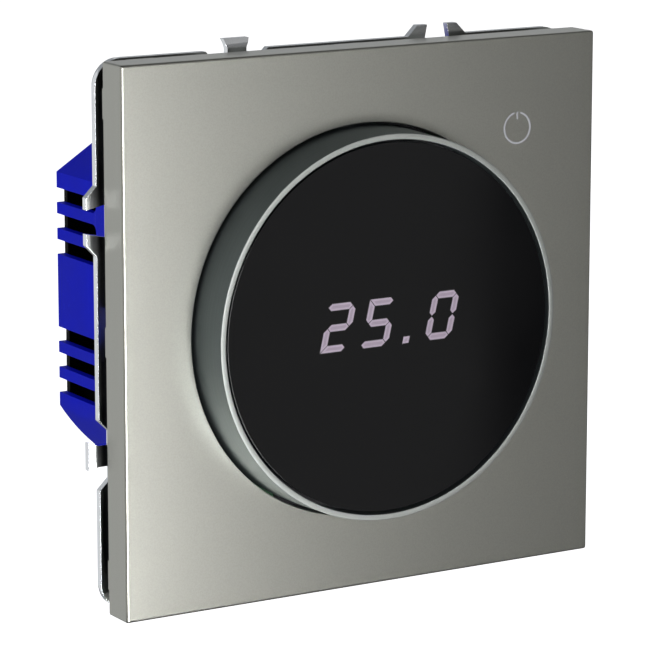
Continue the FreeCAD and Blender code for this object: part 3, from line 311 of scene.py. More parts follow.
def softened_copy(node, name, width):
    """Copy of a moulded or sheared node, its loose triangles joined and its creases rounded."""
    bm = bmesh.new()
    bm.from_mesh(frame["nodes"][node].data)
    bmesh.ops.remove_doubles(bm, verts=bm.verts, dist=MERGE_DISTANCE)
    bmesh.ops.dissolve_limit(
        bm, angle_limit=FLAT_ANGLE, use_dissolve_boundaries=False, verts=bm.verts, edges=bm.edges
    )
    bm.normal_update()
    bevelled = [
        edge for edge in bm.edges
        if len(edge.link_faces) == 2 and edge.calc_face_angle(0.0) > CREASE_ANGLE
    ]
    bmesh.ops.bevel(
        bm, geom=bevelled, offset=width, offset_type="OFFSET", segments=2, profile=0.5,
        affect="EDGES", clamp_overlap=False, loop_slide=True,
    )
    bmesh.ops.remove_doubles(bm, verts=bm.verts, dist=MERGE_DISTANCE)
    bmesh.ops.triangulate(bm, faces=[face for face in bm.faces if len(face.verts) > 4])
    piece = new_object(name, bm)
    shade_smooth(piece)
    return piece


def stand_for(piece, node, body, slot_name):
    """Gives a finished piece its material and its place in the frame."""
    piece.data.materials.clear()
    piece.data.materials.append(finish_for(slot_name))
    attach(piece, body)
    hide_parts(node)


# ---------------------------------------------------------------- materials


def add(tree, kind, inputs=None, **settings):
    """Adds a node: settings are its properties, inputs its values or the sockets linked to it."""
    item = tree.nodes.new(kind)
    for key, value in settings.items():
        setattr(item, key, value)
    feed(tree, item, inputs or {})
    return item


def feed(tree, item, inputs):
    for key, value in inputs.items():
        if isinstance(value, bpy.types.NodeSocket):
            tree.links.new(value, item.inputs[key])
        else:
            item.inputs[key].default_value = value


def start_material(name, constants):
    """New material, its tree and Principled shader, and its Object coordinates in millimetres."""
    material = bpy.data.materials.new(name)
    material.use_nodes = True
    tree = material.node_tree
    shader = tree.nodes["Principled BSDF"]
    feed(tree, shader, constants)
    where = add(tree, "ShaderNodeTexCoord").outputs["Object"]
    in_mm = add(tree, "ShaderNodeVectorMath", {0: where, "Scale": 1000.0}, operation="SCALE")
    return material, tree, shader, in_mm.outputs["Vector"]


def blotches(where, size_mm, detail=2.0):
    """Inputs of a noise whose blotches are about size_mm across."""
    return {"Vector": where, "Scale": 0.6 / size_mm, "Detail": detail, "Roughness": 0.5}


def scaled_colour(rgba, factor):
    return tuple(min(1.0, c * factor) for c in rgba[:3]) + (1.0,)


def vary(tree, shader, socket, value, low, high, start=0.3, end=0.7, share=1.0):
    """Runs a shader's input from low to high as a pattern's value goes from start to end.

    Low and high are both numbers or both colours. Where low is None, the colour that the input has
    already takes its place. Of a colour, share is the most of high that shows.
    """
    target = shader.inputs[socket]
    if low is None:
        low = target.links[0].from_socket
    is_number = isinstance(low, float)
    limits = {"To Min": low, "To Max": high} if is_number else {"To Min": 0.0, "To Max": share}
    inputs = {"Value": value, "From Min": start, "From Max": end}
    result = add(tree, "ShaderNodeMapRange", dict(inputs, **limits)).outputs["Result"]
    if not is_number:
        shades = {"Factor": result, "A": low, "B": high}
        result = add(tree, "ShaderNodeMix", shades, data_type="RGBA").outputs["Result"]
    tree.links.new(result, target)


def raise_relief(tree, shader, value, height_mm, strength):
    """Bumps the surface with a pattern, on top of any relief that it has already."""
    inputs = {"Height": value, "Distance": height_mm * MM, "Strength": strength}
    for link in shader.inputs["Normal"].links:
        inputs["Normal"] = link.from_socket
    bump = add(tree, "ShaderNodeBump", inputs)
    tree.links.new(bump.outputs["Normal"], shader.inputs["Normal"])


def lacquer_material(settings):
    # Metallic lacquer sprayed on a moulded ABS plate: aluminium flakes about 0.05 mm across under a
    # satin clear coat. The flakes give a soft sparkle and the sheen runs off across the face.
    material, tree, shader, where = start_material(
        "Metallic lacquer on moulded ABS",
        {"Metallic": 0.88, "Coat Weight": 0.12, "Coat Roughness": 0.3},
    )
    # Flakes are drawn at 0.12 mm, since 0.05 mm is too fine to show.
    flakes = add(tree, "ShaderNodeTexNoise", blotches(where, 0.12, 1.0)).outputs["Fac"]
    orange_peel = add(tree, "ShaderNodeTexNoise", blotches(where, 1.6, 1.0)).outputs["Fac"]
    tone = settings.lacquer
    vary(tree, shader, "Base Color", flakes, scaled_colour(tone, 0.96), scaled_colour(tone, 1.04))
    vary(tree, shader, "Roughness", flakes, 0.28, 0.35)
    raise_relief(tree, shader, orange_peel, 0.003, 0.3)
    raise_relief(tree, shader, flakes, 0.0012, 0.25)
    return material


def ring_material(settings):
    # Aluminium ring, turned and bead blasted; its side is painted a darker bluish grey than the
    # bright rim, as painted shade. Faint rings run round the axis, and the blasting gives a satin
    # sheen.
    material, tree, shader, where = start_material(
        "Turned aluminium with painted shade on its side", {"Metallic": 0.9}
    )
    split = add(tree, "ShaderNodeSeparateXYZ", {0: where}).outputs
    flat = add(tree, "ShaderNodeCombineXYZ", {"X": split["X"], "Y": split["Z"]}).outputs[0]
    radius = add(tree, "ShaderNodeVectorMath", {0: flat}, operation="LENGTH").outputs["Value"]
    across = add(tree, "ShaderNodeCombineXYZ", {"X": radius, "Y": split["Y"]}).outputs[0]
    # Turning feed of about 0.1 mm, drawn at 0.15 mm so that it shows.
    lines = add(tree, "ShaderNodeTexNoise", blotches(across, 0.15)).outputs["Fac"]
    blast = add(tree, "ShaderNodeTexNoise", blotches(where, 0.12, 1.0)).outputs["Fac"]
    # Depth in millimetres over which the bright rim passes into the side's painted shade.
    rim_end = (DIAL_LOW.y + settings.rim_round) / MM
    fade = (rim_end - 0.15, rim_end + 0.05)
    bright, dark = tuple(settings.metal), tuple(settings.side_painted_shade)
    # Painted shade: the side is painted darker than the rim.
    vary(tree, shader, "Base Color", split["Y"], bright, dark, *fade)
    vary(tree, shader, "Base Color", lines, None, linear("000000"), share=0.06)
    satin = add(
        tree, "ShaderNodeMapRange",
        {"Value": split["Y"], "From Min": fade[0], "From Max": fade[1],
         "To Min": 0.42, "To Max": 0.5},
    ).outputs["Result"]
    rough = add(tree, "ShaderNodeMath", {0: blast, 1: 0.08, 2: satin}, operation="MULTIPLY_ADD")
    feed(tree, shader, {"Roughness": rough.outputs[0]})
    raise_relief(tree, shader, lines, 0.001, 0.25)
    raise_relief(tree, shader, blast, 0.0012, 0.3)
    return material


def window_material(settings):
    # Smoked PMMA, moulded against a polished tool: nearly black, smooth, with a very faint swirl
    # from wiping that widens its reflections here and there.
    material, tree, shader, where = start_material(
        "Polished smoked acrylic", {"IOR": 1.49, "Specular IOR Level": 0.7}
    )
    wiped = add(tree, "ShaderNodeTexNoise", blotches(where, 9.0, 3.0)).outputs["Fac"]
    dust = add(tree, "ShaderNodeTexNoise", blotches(where, 0.25)).outputs["Fac"]
    tone = tuple(settings.acrylic)
    vary(tree, shader, "Base Color", dust, tone, scaled_colour(tone, 1.8), 0.55, 0.8)
    vary(tree, shader, "Roughness", wiped, 0.07, 0.12)
    raise_relief(tree, shader, wiped, 0.003, 0.3)
    return material


def light_guide_material(name, tone, glow):
    # Diffusing polycarbonate light guide lit from behind: an even glow, a little weaker at places
    # between the lights.
    material, tree, shader, where = start_material(
        name,
        {"IOR": 1.58, "Roughness": 0.45, "Emission Strength": glow,
         "Base Color": scaled_colour(tone, 0.35)},
    )
    uneven = add(tree, "ShaderNodeTexNoise", blotches(where, 1.8, 1.0)).outputs["Fac"]
    weaker, stronger = scaled_colour(tone, 0.88), scaled_colour(tone, 1.08)
    vary(tree, shader, "Emission Color", uneven, weaker, stronger)
    raise_relief(tree, shader, uneven, 0.002, 0.3)
    return material


def digit_material(settings):
    # The digits' light guides: the walls of each guide pipe more light than its core, so each bar
    # has a brighter border.
    material = light_guide_material("Lit polycarbonate digit bars", settings.light, 0.56)
    tree = material.node_tree
    core = add(tree, "ShaderNodeAttribute", attribute_name="core").outputs["Fac"]
    dim = scaled_colour(settings.light, 0.55)
    vary(tree, tree.nodes["Principled BSDF"], "Emission Color", core, None, dim, 0.0, 1.0)
    return material


def mask_material():
    # Black print on the rear of the window, seen as a thin dark line round each lit bar.
    material, tree, shader, where = start_material("Black printed mask", {"IOR": 1.49})
    grain = add(tree, "ShaderNodeTexNoise", blotches(where, 0.2, 1.0)).outputs["Fac"]
    vary(tree, shader, "Base Color", grain, linear("020202"), linear("060606"), 0.0, 1.0)
    vary(tree, shader, "Roughness", grain, 0.5, 0.65)
    return material


def plated_material(name, tone, roughness, roll_mm):
    # Electroplated sheet or turned part: bright metal, fine rolling or turning lines along Z, and a
    # thin, cloudy plating that dulls it in patches.
    material, tree, shader, where = start_material(name, {"Metallic": 1.0})
    stretch = {"Vector": where, "Scale": (1.0, 1.0, 0.06)}
    stretched = add(tree, "ShaderNodeMapping", stretch).outputs["Vector"]
    rolled = add(tree, "ShaderNodeTexNoise", blotches(stretched, roll_mm, 3.0)).outputs["Fac"]
    cloudy = add(tree, "ShaderNodeTexNoise", blotches(where, 4.0, 4.0)).outputs["Fac"]
    vary(tree, shader, "Base Color", cloudy, scaled_colour(tone, 0.86), scaled_colour(tone, 1.0))
    vary(tree, shader, "Roughness", cloudy, roughness - 0.05, roughness + 0.08)
    raise_relief(tree, shader, rolled, 0.002, 0.25)
    return material


def start_moulded(name, tone, roughness, texture_mm, height_mm):
    # Injection-moulded plastic: the fine spark-eroded texture of the tool, and a slow change of
    # gloss where the melt flowed.
    material, tree, shader, where = start_material(name, {"IOR": 1.5})
    sparked = add(tree, "ShaderNodeTexNoise", blotches(where, texture_mm)).outputs["Fac"]
    flow = add(tree, "ShaderNodeTexNoise", blotches(where, 7.0, 3.0)).outputs["Fac"]
    vary(tree, shader, "Base Color", flow, scaled_colour(tone, 0.88), scaled_colour(tone, 1.1))
    vary(tree, shader, "Roughness", flow, roughness - 0.05, roughness + 0.07)
    raise_relief(tree, shader, sparked, height_mm, 0.6)
    return material, tree, shader, where


def housing_material(settings):
    # Blue moulding with light scuffs from handling. Its inner faces, which the vents look onto, are
    # painted near black as painted shade.
    tone = tuple(settings.plastic)
    material, tree, shader, where = start_moulded(
        "Moulded blue PA6 housing", tone, 0.5, 0.35, 0.006
    )
    feed(tree, shader, {"Specular IOR Level": 0.05})
    streaks = {"Vector": where, "Rotation": (0.5, 0.3, 0.7), "Scale": (0.05, 1.0, 1.0)}
    scored = add(tree, "ShaderNodeMapping", streaks).outputs["Vector"]
    scuffs = add(tree, "ShaderNodeTexNoise", blotches(scored, 0.3)).outputs["Fac"]
    vary(tree, shader, "Base Color", scuffs, None, scaled_colour(tone, 2.4), 0.62, 0.7, 0.3)
    inside_painted_shade = add(tree, "ShaderNodeAttribute", attribute_name="inside_painted_shade").outputs["Fac"]
    # Painted shade: the faces inside the housing are painted near black.
    vary(tree, shader, "Base Color", inside_painted_shade, None, linear("060607"), 0.0, 1.0)
    return material


def laminate_material(name, tone):
    # Glass-epoxy laminate under solder mask: a gloss film over a weave of 0.4 mm threads.
    material, tree, shader, where = start_material(
        name, {"IOR": 1.55, "Coat Weight": 0.3, "Coat Roughness": 0.15}
    )
    weave = {"Vector": where, "Scale": 0.79, "Distortion": 0.4}
    warp, weft = (
        add(tree, "ShaderNodeTexWave", weave, wave_type="BANDS", bands_direction=way).outputs["Fac"]
        for way in "XZ"
    )
    threads = add(tree, "ShaderNodeMath", {0: warp, 1: weft}, operation="MULTIPLY").outputs[0]
    film = add(tree, "ShaderNodeTexNoise", blotches(where, 3.0)).outputs["Fac"]
    dark, pale = scaled_colour(tone, 0.85), scaled_colour(tone, 1.15)
    vary(tree, shader, "Base Color", threads, dark, pale, 0.0, 1.0)
    vary(tree, shader, "Roughness", film, 0.3, 0.45)
    raise_relief(tree, shader, threads, 0.01, 0.4)
    return material


def winding_material(name, tone):
    # Polyester tape over a wound coil: glossy, with the ridge of each lap 0.8 mm apart.
    material, tree, shader, where = start_material(name, {"IOR": 1.55})
    laps = add(
        tree, "ShaderNodeTexWave",
        {"Vector": where, "Scale": 0.39, "Distortion": 0.6, "Detail": 1.0},
        wave_type="BANDS", bands_direction="Y",
    ).outputs["Fac"]
    film = add(tree, "ShaderNodeTexNoise", blotches(where, 2.0)).outputs["Fac"]
    vary(tree, shader, "Base Color", laps, scaled_colour(tone, 0.8), tone, 0.0, 1.0)
    vary(tree, shader, "Roughness", film, 0.25, 0.4)
    raise_relief(tree, shader, laps, 0.03, 0.5)
    return material


# Moulded, dipped and pressed finishes by slot: name, colour, roughness, and the width and height of
# the texture in millimetres.
MOULDED = {
    "chassis_plastic": ("Moulded black PC-ABS chassis", "242528", 0.45, 0.3, 0.006),
    "header_plastic": ("Moulded black LCP header", "151515", 0.5, 0.2, 0.006),
    "white_plastic": ("Moulded white reflector PBT", "E4E3DC", 0.5, 0.25, 0.006),
    "slip_plastic": ("Die-cut natural PTFE", "DADAD4", 0.55, 0.2, 0.006),
    "terminal_plastic": ("Moulded grey PBT terminal", "5A5E60", 0.42, 0.25, 0.006),
    "component_black": ("Epoxy moulding compound", "1C1C1D", 0.6, 0.12, 0.004),
    "ferrite": ("Sintered ferrite", "2B2A2C", 0.65, 0.15, 0.01),
    "capacitor_sleeve": ("Shrunk PET capacitor sleeve", "20242E", 0.25, 1.2, 0.004),
    "film_box": ("Moulded film capacitor box", "C9A43A", 0.4, 0.3, 0.006),
    "disc_coating": ("Dipped epoxy disc coating", "2E6FA8", 0.35, 1.5, 0.02),
}


def make_finishes(scene):
    """One material for each slot of the record, keyed by the slot's name."""
    strap, display = scene.thermostat_strap, scene.thermostat_display
    zinc, steel, key_tone = tuple(strap.zinc), tuple(strap.steel), tuple(display.symbol_tone)
    finishes = {
        "plate_lacquer": lacquer_material(scene.thermostat_plate),
        "dial_aluminium": ring_material(scene.thermostat_dial),
        "window_acrylic": window_material(scene.thermostat_dial),
        "digit_light": digit_material(display),
        "symbol_light": light_guide_material("Lit polycarbonate key symbol", key_tone, 0.72),
        "housing_plastic": housing_material(scene.thermostat_housing),
        "strap_steel": plated_material("Zinc-plated sheet steel", zinc, 0.16, 0.35),
        "screw_steel": plated_material("Zinc-plated screw steel", steel, 0.3, 0.15),
        "contact_brass": plated_material("Tinned brass", linear("C8B98C"), 0.3, 0.25),
        "shield_steel": plated_material("Tin-plated shield steel", linear("B9BBBC"), 0.3, 0.3),
        "circuit_board": laminate_material("Solder-masked glass epoxy", linear("1E5A32")),
        "winding_tape": winding_material("Polyester winding tape", linear("C99A2E")),
    }
    for slot_name, (name, hex_colour, *texture) in MOULDED.items():
        finishes[slot_name] = start_moulded(name, linear(hex_colour), *texture)[0]
    return finishes


def finish_for(slot_name):
    """The material of one slot of the record, made once for the whole scene."""
    if slot_name not in finish_for.made:
        finish_for.made.update(make_finishes(bpy.context.scene))
    return finish_for.made[slot_name]


finish_for.made = {}


# ---------------------------------------------------------------- front plate and its symbol

# Steps along each side of the plate's square loops.
SIDE_STEPS = 56
# Half width and corner radius of the square whose points give the circles of the plate their rays.
RAY_SQUARE = (35.0 * MM, 0.35 * MM)
# The light guides reach this far behind the face that they light.
LIGHT_GUIDE_DEPTH = 0.3 * MM


def square_loop(half, radius, y):
    """Rounded square as (x, y, z) points, always the same number, starting right of the bottom."""
    points = []
    radius = max(radius, 1e-6)
    reach = half - radius
    for quarter in range(4):
        turn = quarter * math.pi / 2
        c, s = math.cos(turn), math.sin(turn)
        run = [(half, reach * (2.0 * i / SIDE_STEPS - 1.0)) for i in range(SIDE_STEPS)]
        corner = arc_points(0, 0, radius, 0, math.pi / 2, ROUND_STEPS)[:-1]
        run += [(x + reach, z + reach) for x, z in corner]
        points += [(x * c - z * s, y, x * s + z * c) for x, z in run]
    return points


def circle_loop(radius, y):
    """Circle with one point on the ray to each point of a square loop."""
    return [
        (x * radius / math.hypot(x, z), y, z * radius / math.hypot(x, z))
        for x, _, z in square_loop(*RAY_SQUARE, y)
    ]


def round_steps(radius):
    """How far a small outer round stands back, across and along, at each step of a quarter turn."""
    turns = [math.pi / 2 * i / ROUND_STEPS for i in range(ROUND_STEPS + 1)]
    return [(radius * (1 - math.cos(a)), radius * (1 - math.sin(a))) for a in turns]


class THERMOSTAT_OT_plate(bpy.types.Operator):
    """Make the square front plate with its skirt, collar, pegs and lands"""

    bl_idname = "thermostat.plate"
    bl_label = "Front plate"

    def execute(self, context):
        s = context.scene.thermostat_plate
        front = PLATE_LOW.y
        rear = front + s.depth
        inner = front + s.front_wall
        half = PLATE_HIGH.x
        hole = DIAL_HIGH.x + s.hole_gap
        collar = hole + s.collar_wall
        collar_rear = inner + s.collar_depth
        loops = [(collar, inner), (collar, collar_rear), (hole, collar_rear)]
        loops += [(hole + across, front + along) for across, along in round_steps(s.mouth_round)]
        loops = [circle_loop(radius, y) for radius, y in loops]
        for along, inset in round_steps(s.edge_round):
            loops.append(square_loop(half - inset, s.edge_round - inset, front + along))
        loops.append(square_loop(half, s.edge_round, rear))
        loops.append(square_loop(half - s.skirt_wall, 0.0, rear))
        loops.append(square_loop(half - s.skirt_wall, 0.0, inner))
        bm = bmesh.new()
        add_loops(bm, loops, joined=True)
        # Pegs and lands start a little inside the moulding that they stand on.
        overlap = 0.05 * MM
        for x, z in [(i * s.peg_offset, j * s.peg_offset) for i in (-1, 1) for j in (-1, 1)]:
            peg = circle_points(s.peg_radius, PEG_STEPS, x, z)
            add_prism(bm, peg, inner - overlap, PLATE_HIGH.y)
        middle = half - s.skirt_wall / 2
        land_front, land_rear = rear - overlap, rear + s.land_height
        across, along = s.skirt_wall / 2 - overlap / 5, s.land_length / 2 - overlap / 5
        for step in (-s.land_offset, 0.0, s.land_offset):
            for c, d in ((1, 0), (0, 1), (-1, 0), (0, -1)):
                x, z = c * middle - d * step, d * middle + c * step
                wide, tall = (across, along) if c else (along, across)
                add_box(bm, (x - wide, land_front, z - tall), (x + wide, land_rear, z + tall))
        close_and_face_out(bm)
        plate = new_object("front_plate_finished", bm)
        shade_smooth(plate)
        stand_for(plate, "front_plate", "plate", "plate_lacquer")
        return {"FINISHED"}


class THERMOSTAT_OT_symbol(bpy.types.Operator):
    """Make the lit power symbol of the touch key"""

    bl_idname = "thermostat.symbol"
    bl_label = "Key symbol"

    def execute(self, context):
        s = context.scene.thermostat_display
        x = (SYMBOL_LOW.x + SYMBOL_HIGH.x) / 2
        z = (SYMBOL_LOW.z + SYMBOL_HIGH.z) / 2
        proud = 0.015 * MM
        front = PLATE_LOW.y - proud
        rear = front + LIGHT_GUIDE_DEPTH
        half = s.symbol_line / 2
        start = math.pi / 2 + s.symbol_gap
        end = math.pi / 2 - s.symbol_gap + 2 * math.pi
        outer = arc_points(x, z, s.symbol_radius + half, start, end, SYMBOL_STEPS)
        inner = arc_points(x, z, s.symbol_radius - half, start, end, SYMBOL_STEPS)
        bm = bmesh.new()
        sections = [
            [(x0, front, z0), (x0, rear, z0), (x1, rear, z1), (x1, front, z1)]
            for (x0, z0), (x1, z1) in zip(outer, inner)
        ]
        add_loops(bm, sections, joined=False)
        top = z + s.symbol_radius + half
        add_box(bm, (x - half, front, top - s.symbol_bar), (x + half, rear, top))
        # The pad behind the symbol shows on the plate's inner side once the plate is pulled off.
        pad = circle_points((SYMBOL_HIGH.x - SYMBOL_LOW.x) / 2, PAD_STEPS, x, z)
        pad_sunk, pad_proud = 0.2 * MM, 0.03 * MM
        inner_face = PLATE_LOW.y + context.scene.thermostat_plate.front_wall
        add_prism(bm, pad, inner_face - pad_sunk, inner_face + pad_proud)
        close_and_face_out(bm)
        symbol = new_object("symbol_light_finished", bm)
        shade_smooth(symbol, weighted=False)
        stand_for(symbol, "symbol_light_guide", "plate", "symbol_light")
        return {"FINISHED"}


# ---------------------------------------------------------------- dial and display


def start_tree(name, places, sizes):
    """New Geometry Nodes tree with named inputs: its geometry, its sizes and its material."""
    tree = bpy.data.node_groups.new(name, "GeometryNodeTree")
    sockets = tree.interface
    sockets.new_socket(name=places, in_out="INPUT", socket_type="NodeSocketGeometry")
    names = {}
    for key, default in sizes.items():
        kind = "NodeSocketInt" if isinstance(default, int) else "NodeSocketFloat"
        socket = sockets.new_socket(name=key, in_out="INPUT", socket_type=kind)
        socket.default_value = default
        names[key] = socket.identifier
    material = sockets.new_socket(name="Material", in_out="INPUT", socket_type="NodeSocketMaterial")
    names["Material"] = material.identifier
    sockets.new_socket(name="Geometry", in_out="OUTPUT", socket_type="NodeSocketGeometry")
    return tree, names, add(tree, "NodeGroupInput").outputs


def end_tree(tree, geometry, material):
    """Ends a tree in real geometry with its material set."""
    real = add(tree, "GeometryNodeRealizeInstances", {"Geometry": geometry}).outputs[0]
    painted = add(tree, "GeometryNodeSetMaterial", {"Geometry": real, "Material": material})
    add(tree, "NodeGroupOutput", {"Geometry": painted.outputs[0]})


def run_tree(piece, tree, names, values):
    """Runs a tree on a piece, keeps the result as a plain mesh and takes the modifier off."""
    modifier = piece.modifiers.new("Nodes", "NODES")
    modifier.node_group = tree
    for name, value in values.items():
        modifier[names[name]] = value
    piece.update_tag()
    apply_modifiers(piece)
    bm = bmesh.new()
    bm.from_mesh(piece.data)
    close_and_face_out(bm)
    bm.to_mesh(piece.data)
    bm.free()


def turning_tree():
    """Tree that turns a closed profile round the dial's axis, as on a lathe.

    The profile is drawn as (radius - rail radius, depth) and swept round a circle of that radius.
    """
    tree, names, given = start_tree(
        "Turned ring", "Profile", {"Steps round": RING_STEPS, "Rail radius": 20.0 * MM}
    )
    section = add(tree, "GeometryNodeMeshToCurve", {"Mesh": given["Profile"]}).outputs["Curve"]
    circle = {"Resolution": given["Steps round"], "Radius": given["Rail radius"]}
    rail = add(tree, "GeometryNodeCurvePrimitiveCircle", circle, mode="RADIUS").outputs["Curve"]
    sweep = {"Curve": rail, "Profile Curve": section}
    swept = add(tree, "GeometryNodeCurveToMesh", sweep).outputs["Mesh"]
    upright = {"Geometry": swept, "Rotation": (math.pi / 2, 0.0, 0.0)}
    stood_up = add(tree, "GeometryNodeTransform", upright).outputs["Geometry"]
    end_tree(tree, stood_up, given["Material"])
    return tree, names


def rounded_corner(corner, before, after, radius):
    """Points of a small round that takes the place of a profile's corner."""
    corner, before, after = Vector(corner), Vector(before), Vector(after)
    one = (before - corner).normalized()
    two = (after - corner).normalized()
    half_angle = one.angle(two) / 2
    centre = corner + (one + two).normalized() * radius / math.sin(half_angle)
    start = corner + one * radius / math.tan(half_angle) - centre
    end = corner + two * radius / math.tan(half_angle) - centre
    sweep = start.angle_signed(end)
    points = []
    for i in range(ROUND_STEPS + 1):
        turned = start.copy()
        turned.rotate(Matrix.Rotation(-sweep * i / ROUND_STEPS, 2))
        points.append(tuple(centre + turned))
    return points


class THERMOSTAT_OT_dial(bpy.types.Operator):
    """Turn the metal ring of the dial"""

    bl_idname = "thermostat.dial"
    bl_label = "Dial ring"

    def execute(self, context):
        s = context.scene.thermostat_dial
        front, rear = DIAL_LOW.y, DIAL_HIGH.y
        outer = DIAL_HIGH.x
        inner = s.front_radius - s.rim_width
        # The side tapers from the rim to where it enters the plate.
        corners = [(inner, front), (s.front_radius, front), (outer, PLATE_LOW.y), (outer, rear),
                   (inner, rear)]
        rounds = [s.inner_round, s.rim_round, 0.0, 0.0, 0.0]
        points = []
        for i, (corner, size) in enumerate(zip(corners, rounds)):
            before, after = corners[i - 1], corners[(i + 1) % len(corners)]
            points += rounded_corner(corner, before, after, size) if size else [corner]
        rail = (inner + outer) / 2
        profile = [(radius - rail, y, 0.0) for radius, y in points]
        edges = [(i, (i + 1) % len(points)) for i in range(len(points))]
        ring = outline_object("dial_ring_finished", profile, edges)
        finish = finish_for("dial_aluminium")
        values = {"Steps round": RING_STEPS, "Rail radius": rail, "Material": finish}
        run_tree(ring, *turning_tree(), values)
        shade_smooth(ring)
        stand_for(ring, "dial_ring", "dial", "dial_aluminium")
        return {"FINISHED"}


class THERMOSTAT_OT_window(bpy.types.Operator):
    """Make the smoked window inside the dial"""

    bl_idname = "thermostat.window"
    bl_label = "Display window"

    def execute(self, context):
        s = context.scene.thermostat_dial
        radius = WINDOW_HIGH.x
        front, rear = WINDOW_LOW.y, WINDOW_HIGH.y
        profile = [(radius, rear)]
        for across, along in round_steps(s.window_round):
            profile.append((radius - across, front + along))
        bm = bmesh.new()
        loops = [[(x, y, z) for x, z in circle_points(r, WINDOW_STEPS)] for r, y in profile]
        add_loops(bm, loops, joined=False)
        close_and_face_out(bm)
        window = new_object("display_window_finished", bm)
        shade_smooth(window)
        stand_for(window, "display_window", "base", "window_acrylic")
        return {"FINISHED"}


# Lit bars of each digit, named a to g clockwise from the top with g across the middle.
DIGITS = {"2": "abged", "5": "afgcd", "0": "abcdef"}
# Start and end of the bars that are mitred out to the digit's corner: the hand on which it lies.
MITRED = {("2", "e"): (0, -1), ("2", "d"): (-1, 0), ("5", "a"): (1, 0), ("5", "f"): (-1, 0)}
# Bars whose free left end reaches further out.
LONG_LEFT = {("2", "a"), ("5", "d")}
LONG_LEFT_REACH = 0.5 * MM
# Centres of the digits across the display; the third stands apart, after the decimal point.
DIGIT_PLACES = (("2", -7.75 * MM), ("5", -1.75 * MM), ("0", 7.73 * MM))
POINT_PLACE = 2.3 * MM
POINT_WIDTH = 0.9 * MM


def end_stations(inset, half, side):
    """Distances along and across the bar round one end, from its right hand to its left."""
    if side == 0:
        return [(inset + half, -half), (inset, 0.0), (inset + half, half)]
    corner = (inset - half, side * half)
    inner = (inset + half, -side * half)
    return [inner, corner] if side > 0 else [corner, inner]


def bar_outline(start, end, half, inset, start_side, end_side):
    reach = math.hypot(end[0] - start[0], end[1] - start[1])
    along = ((end[0] - start[0]) / reach, (end[1] - start[1]) / reach)
    across = (-along[1], along[0])
    stations = end_stations(inset, half, start_side)
    stations += [(reach - a, w) for a, w in end_stations(inset, half, end_side)][::-1]
    return [
        (start[0] + along[0] * a + across[0] * w, start[1] + along[1] * a + across[1] * w)
        for a, w in stations
    ]


def digit_outlines(s, margin):
    """Outlines of every lit bar and of the decimal point, grown by margin, on the window."""
    half_w, half_h = s.digit_width / 2, s.digit_height / 2
    places = {
        "a": ((-half_w, half_h), (half_w, half_h)),
        "b": ((half_w, half_h), (half_w, 0.0)),
        "c": ((half_w, 0.0), (half_w, -half_h)),
        "d": ((-half_w, -half_h), (half_w, -half_h)),
        "e": ((-half_w, 0.0), (-half_w, -half_h)),
        "f": ((-half_w, half_h), (-half_w, 0.0)),
        "g": ((-half_w, 0.0), (half_w, 0.0)),
    }
    lean = math.tan(s.slant)
    centre_z = (DIGITS_LOW.z + DIGITS_HIGH.z) / 2
    half = s.bar_width / 2 + margin
    outlines = []
    for digit, centre_x in DIGIT_PLACES:
        for stroke in DIGITS[digit]:
            sides = MITRED.get((digit, stroke), (0, 0))
            start, end = places[stroke]
            if (digit, stroke) in LONG_LEFT:
                start = (start[0] - LONG_LEFT_REACH, start[1])
            bar = bar_outline(start, end, half, s.bar_gap - margin, *sides)
            outlines.append([(centre_x + x + z * lean, centre_z + z) for x, z in bar])
    wide, base = POINT_WIDTH / 2 + margin, -half_h
    point = [(-wide, base - half), (wide, base - half), (wide, base + half), (-wide, base + half)]
    outlines.append([(POINT_PLACE + x + (z - base) * lean, centre_z + z) for x, z in point])
    return outlines


def mark_cores(bm, inset):
    """Insets the front of each bar and marks the inner face as its core."""
    core = bm.faces.layers.float.new("core")
    bm.normal_update()
    facing_out = -0.9
    fronts = [face for face in bm.faces if face.normal.y < facing_out]
    bmesh.ops.inset_individual(bm, faces=fronts, thickness=inset, use_even_offset=True)
    for face in fronts:
        face[core] = 1.0


class THERMOSTAT_OT_digits(bpy.types.Operator):
    """Make the lit digits and the dark line round each bar"""

    bl_idname = "thermostat.digits"
    bl_label = "Digits"

    def execute(self, context):
        s = context.scene.thermostat_display
        front = WINDOW_LOW.y
        rear = front + LIGHT_GUIDE_DEPTH
        lit_proud, dark_proud, dark_back = 0.012 * MM, 0.005 * MM, 0.05 * MM
        lit, dark = bmesh.new(), bmesh.new()
        for outline in digit_outlines(s, 0.0):
            add_prism(lit, outline, front - lit_proud, rear)
        for outline in digit_outlines(s, s.mask_margin):
            add_prism(dark, outline, front - dark_proud, rear - dark_back)
        for bm in (lit, dark):
            bmesh.ops.recalc_face_normals(bm, faces=bm.faces)
        mark_cores(lit, s.core_inset)
        stand_for(new_object("digit_bars_finished", lit), "display_segments", "base", "digit_light")
        mask = new_object("digit_mask", dark)
        mask.data.materials.append(mask_material())
        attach(mask, "base")
        return {"FINISHED"}


# ---------------------------------------------------------------- strap, housing and screws


class THERMOSTAT_OT_strap(bpy.types.Operator):
    """Make the sheet-steel mounting strap with its dovetail couplings"""

    bl_idname = "thermostat.strap"
    bl_label = "Mounting strap"

    def execute(self, context):
        s = context.scene.thermostat_strap
        strap = softened_copy("mounting_strap", "mounting_strap_finished", s.edge_break)
        stand_for(strap, "mounting_strap", "base", "strap_steel")
        return {"FINISHED"}


def depth_in_wall(s, x, z):
    """How far a point of the housing's outline lies inside its outer surface."""
    half = HOUSING_HIGH.x
    run = Vector((s.top_half_width - half, HOUSING_HIGH.z - s.side_top)).normalized()
    to_slope = (half - abs(x)) * run.y + (s.side_top - z) * -run.x
    depths = [half - abs(x), HOUSING_HIGH.z - z, z - HOUSING_LOW.z, to_slope]
    if z < 0.0:
        depths.append(s.lower_radius - math.hypot(x, z))
    return min(depths)


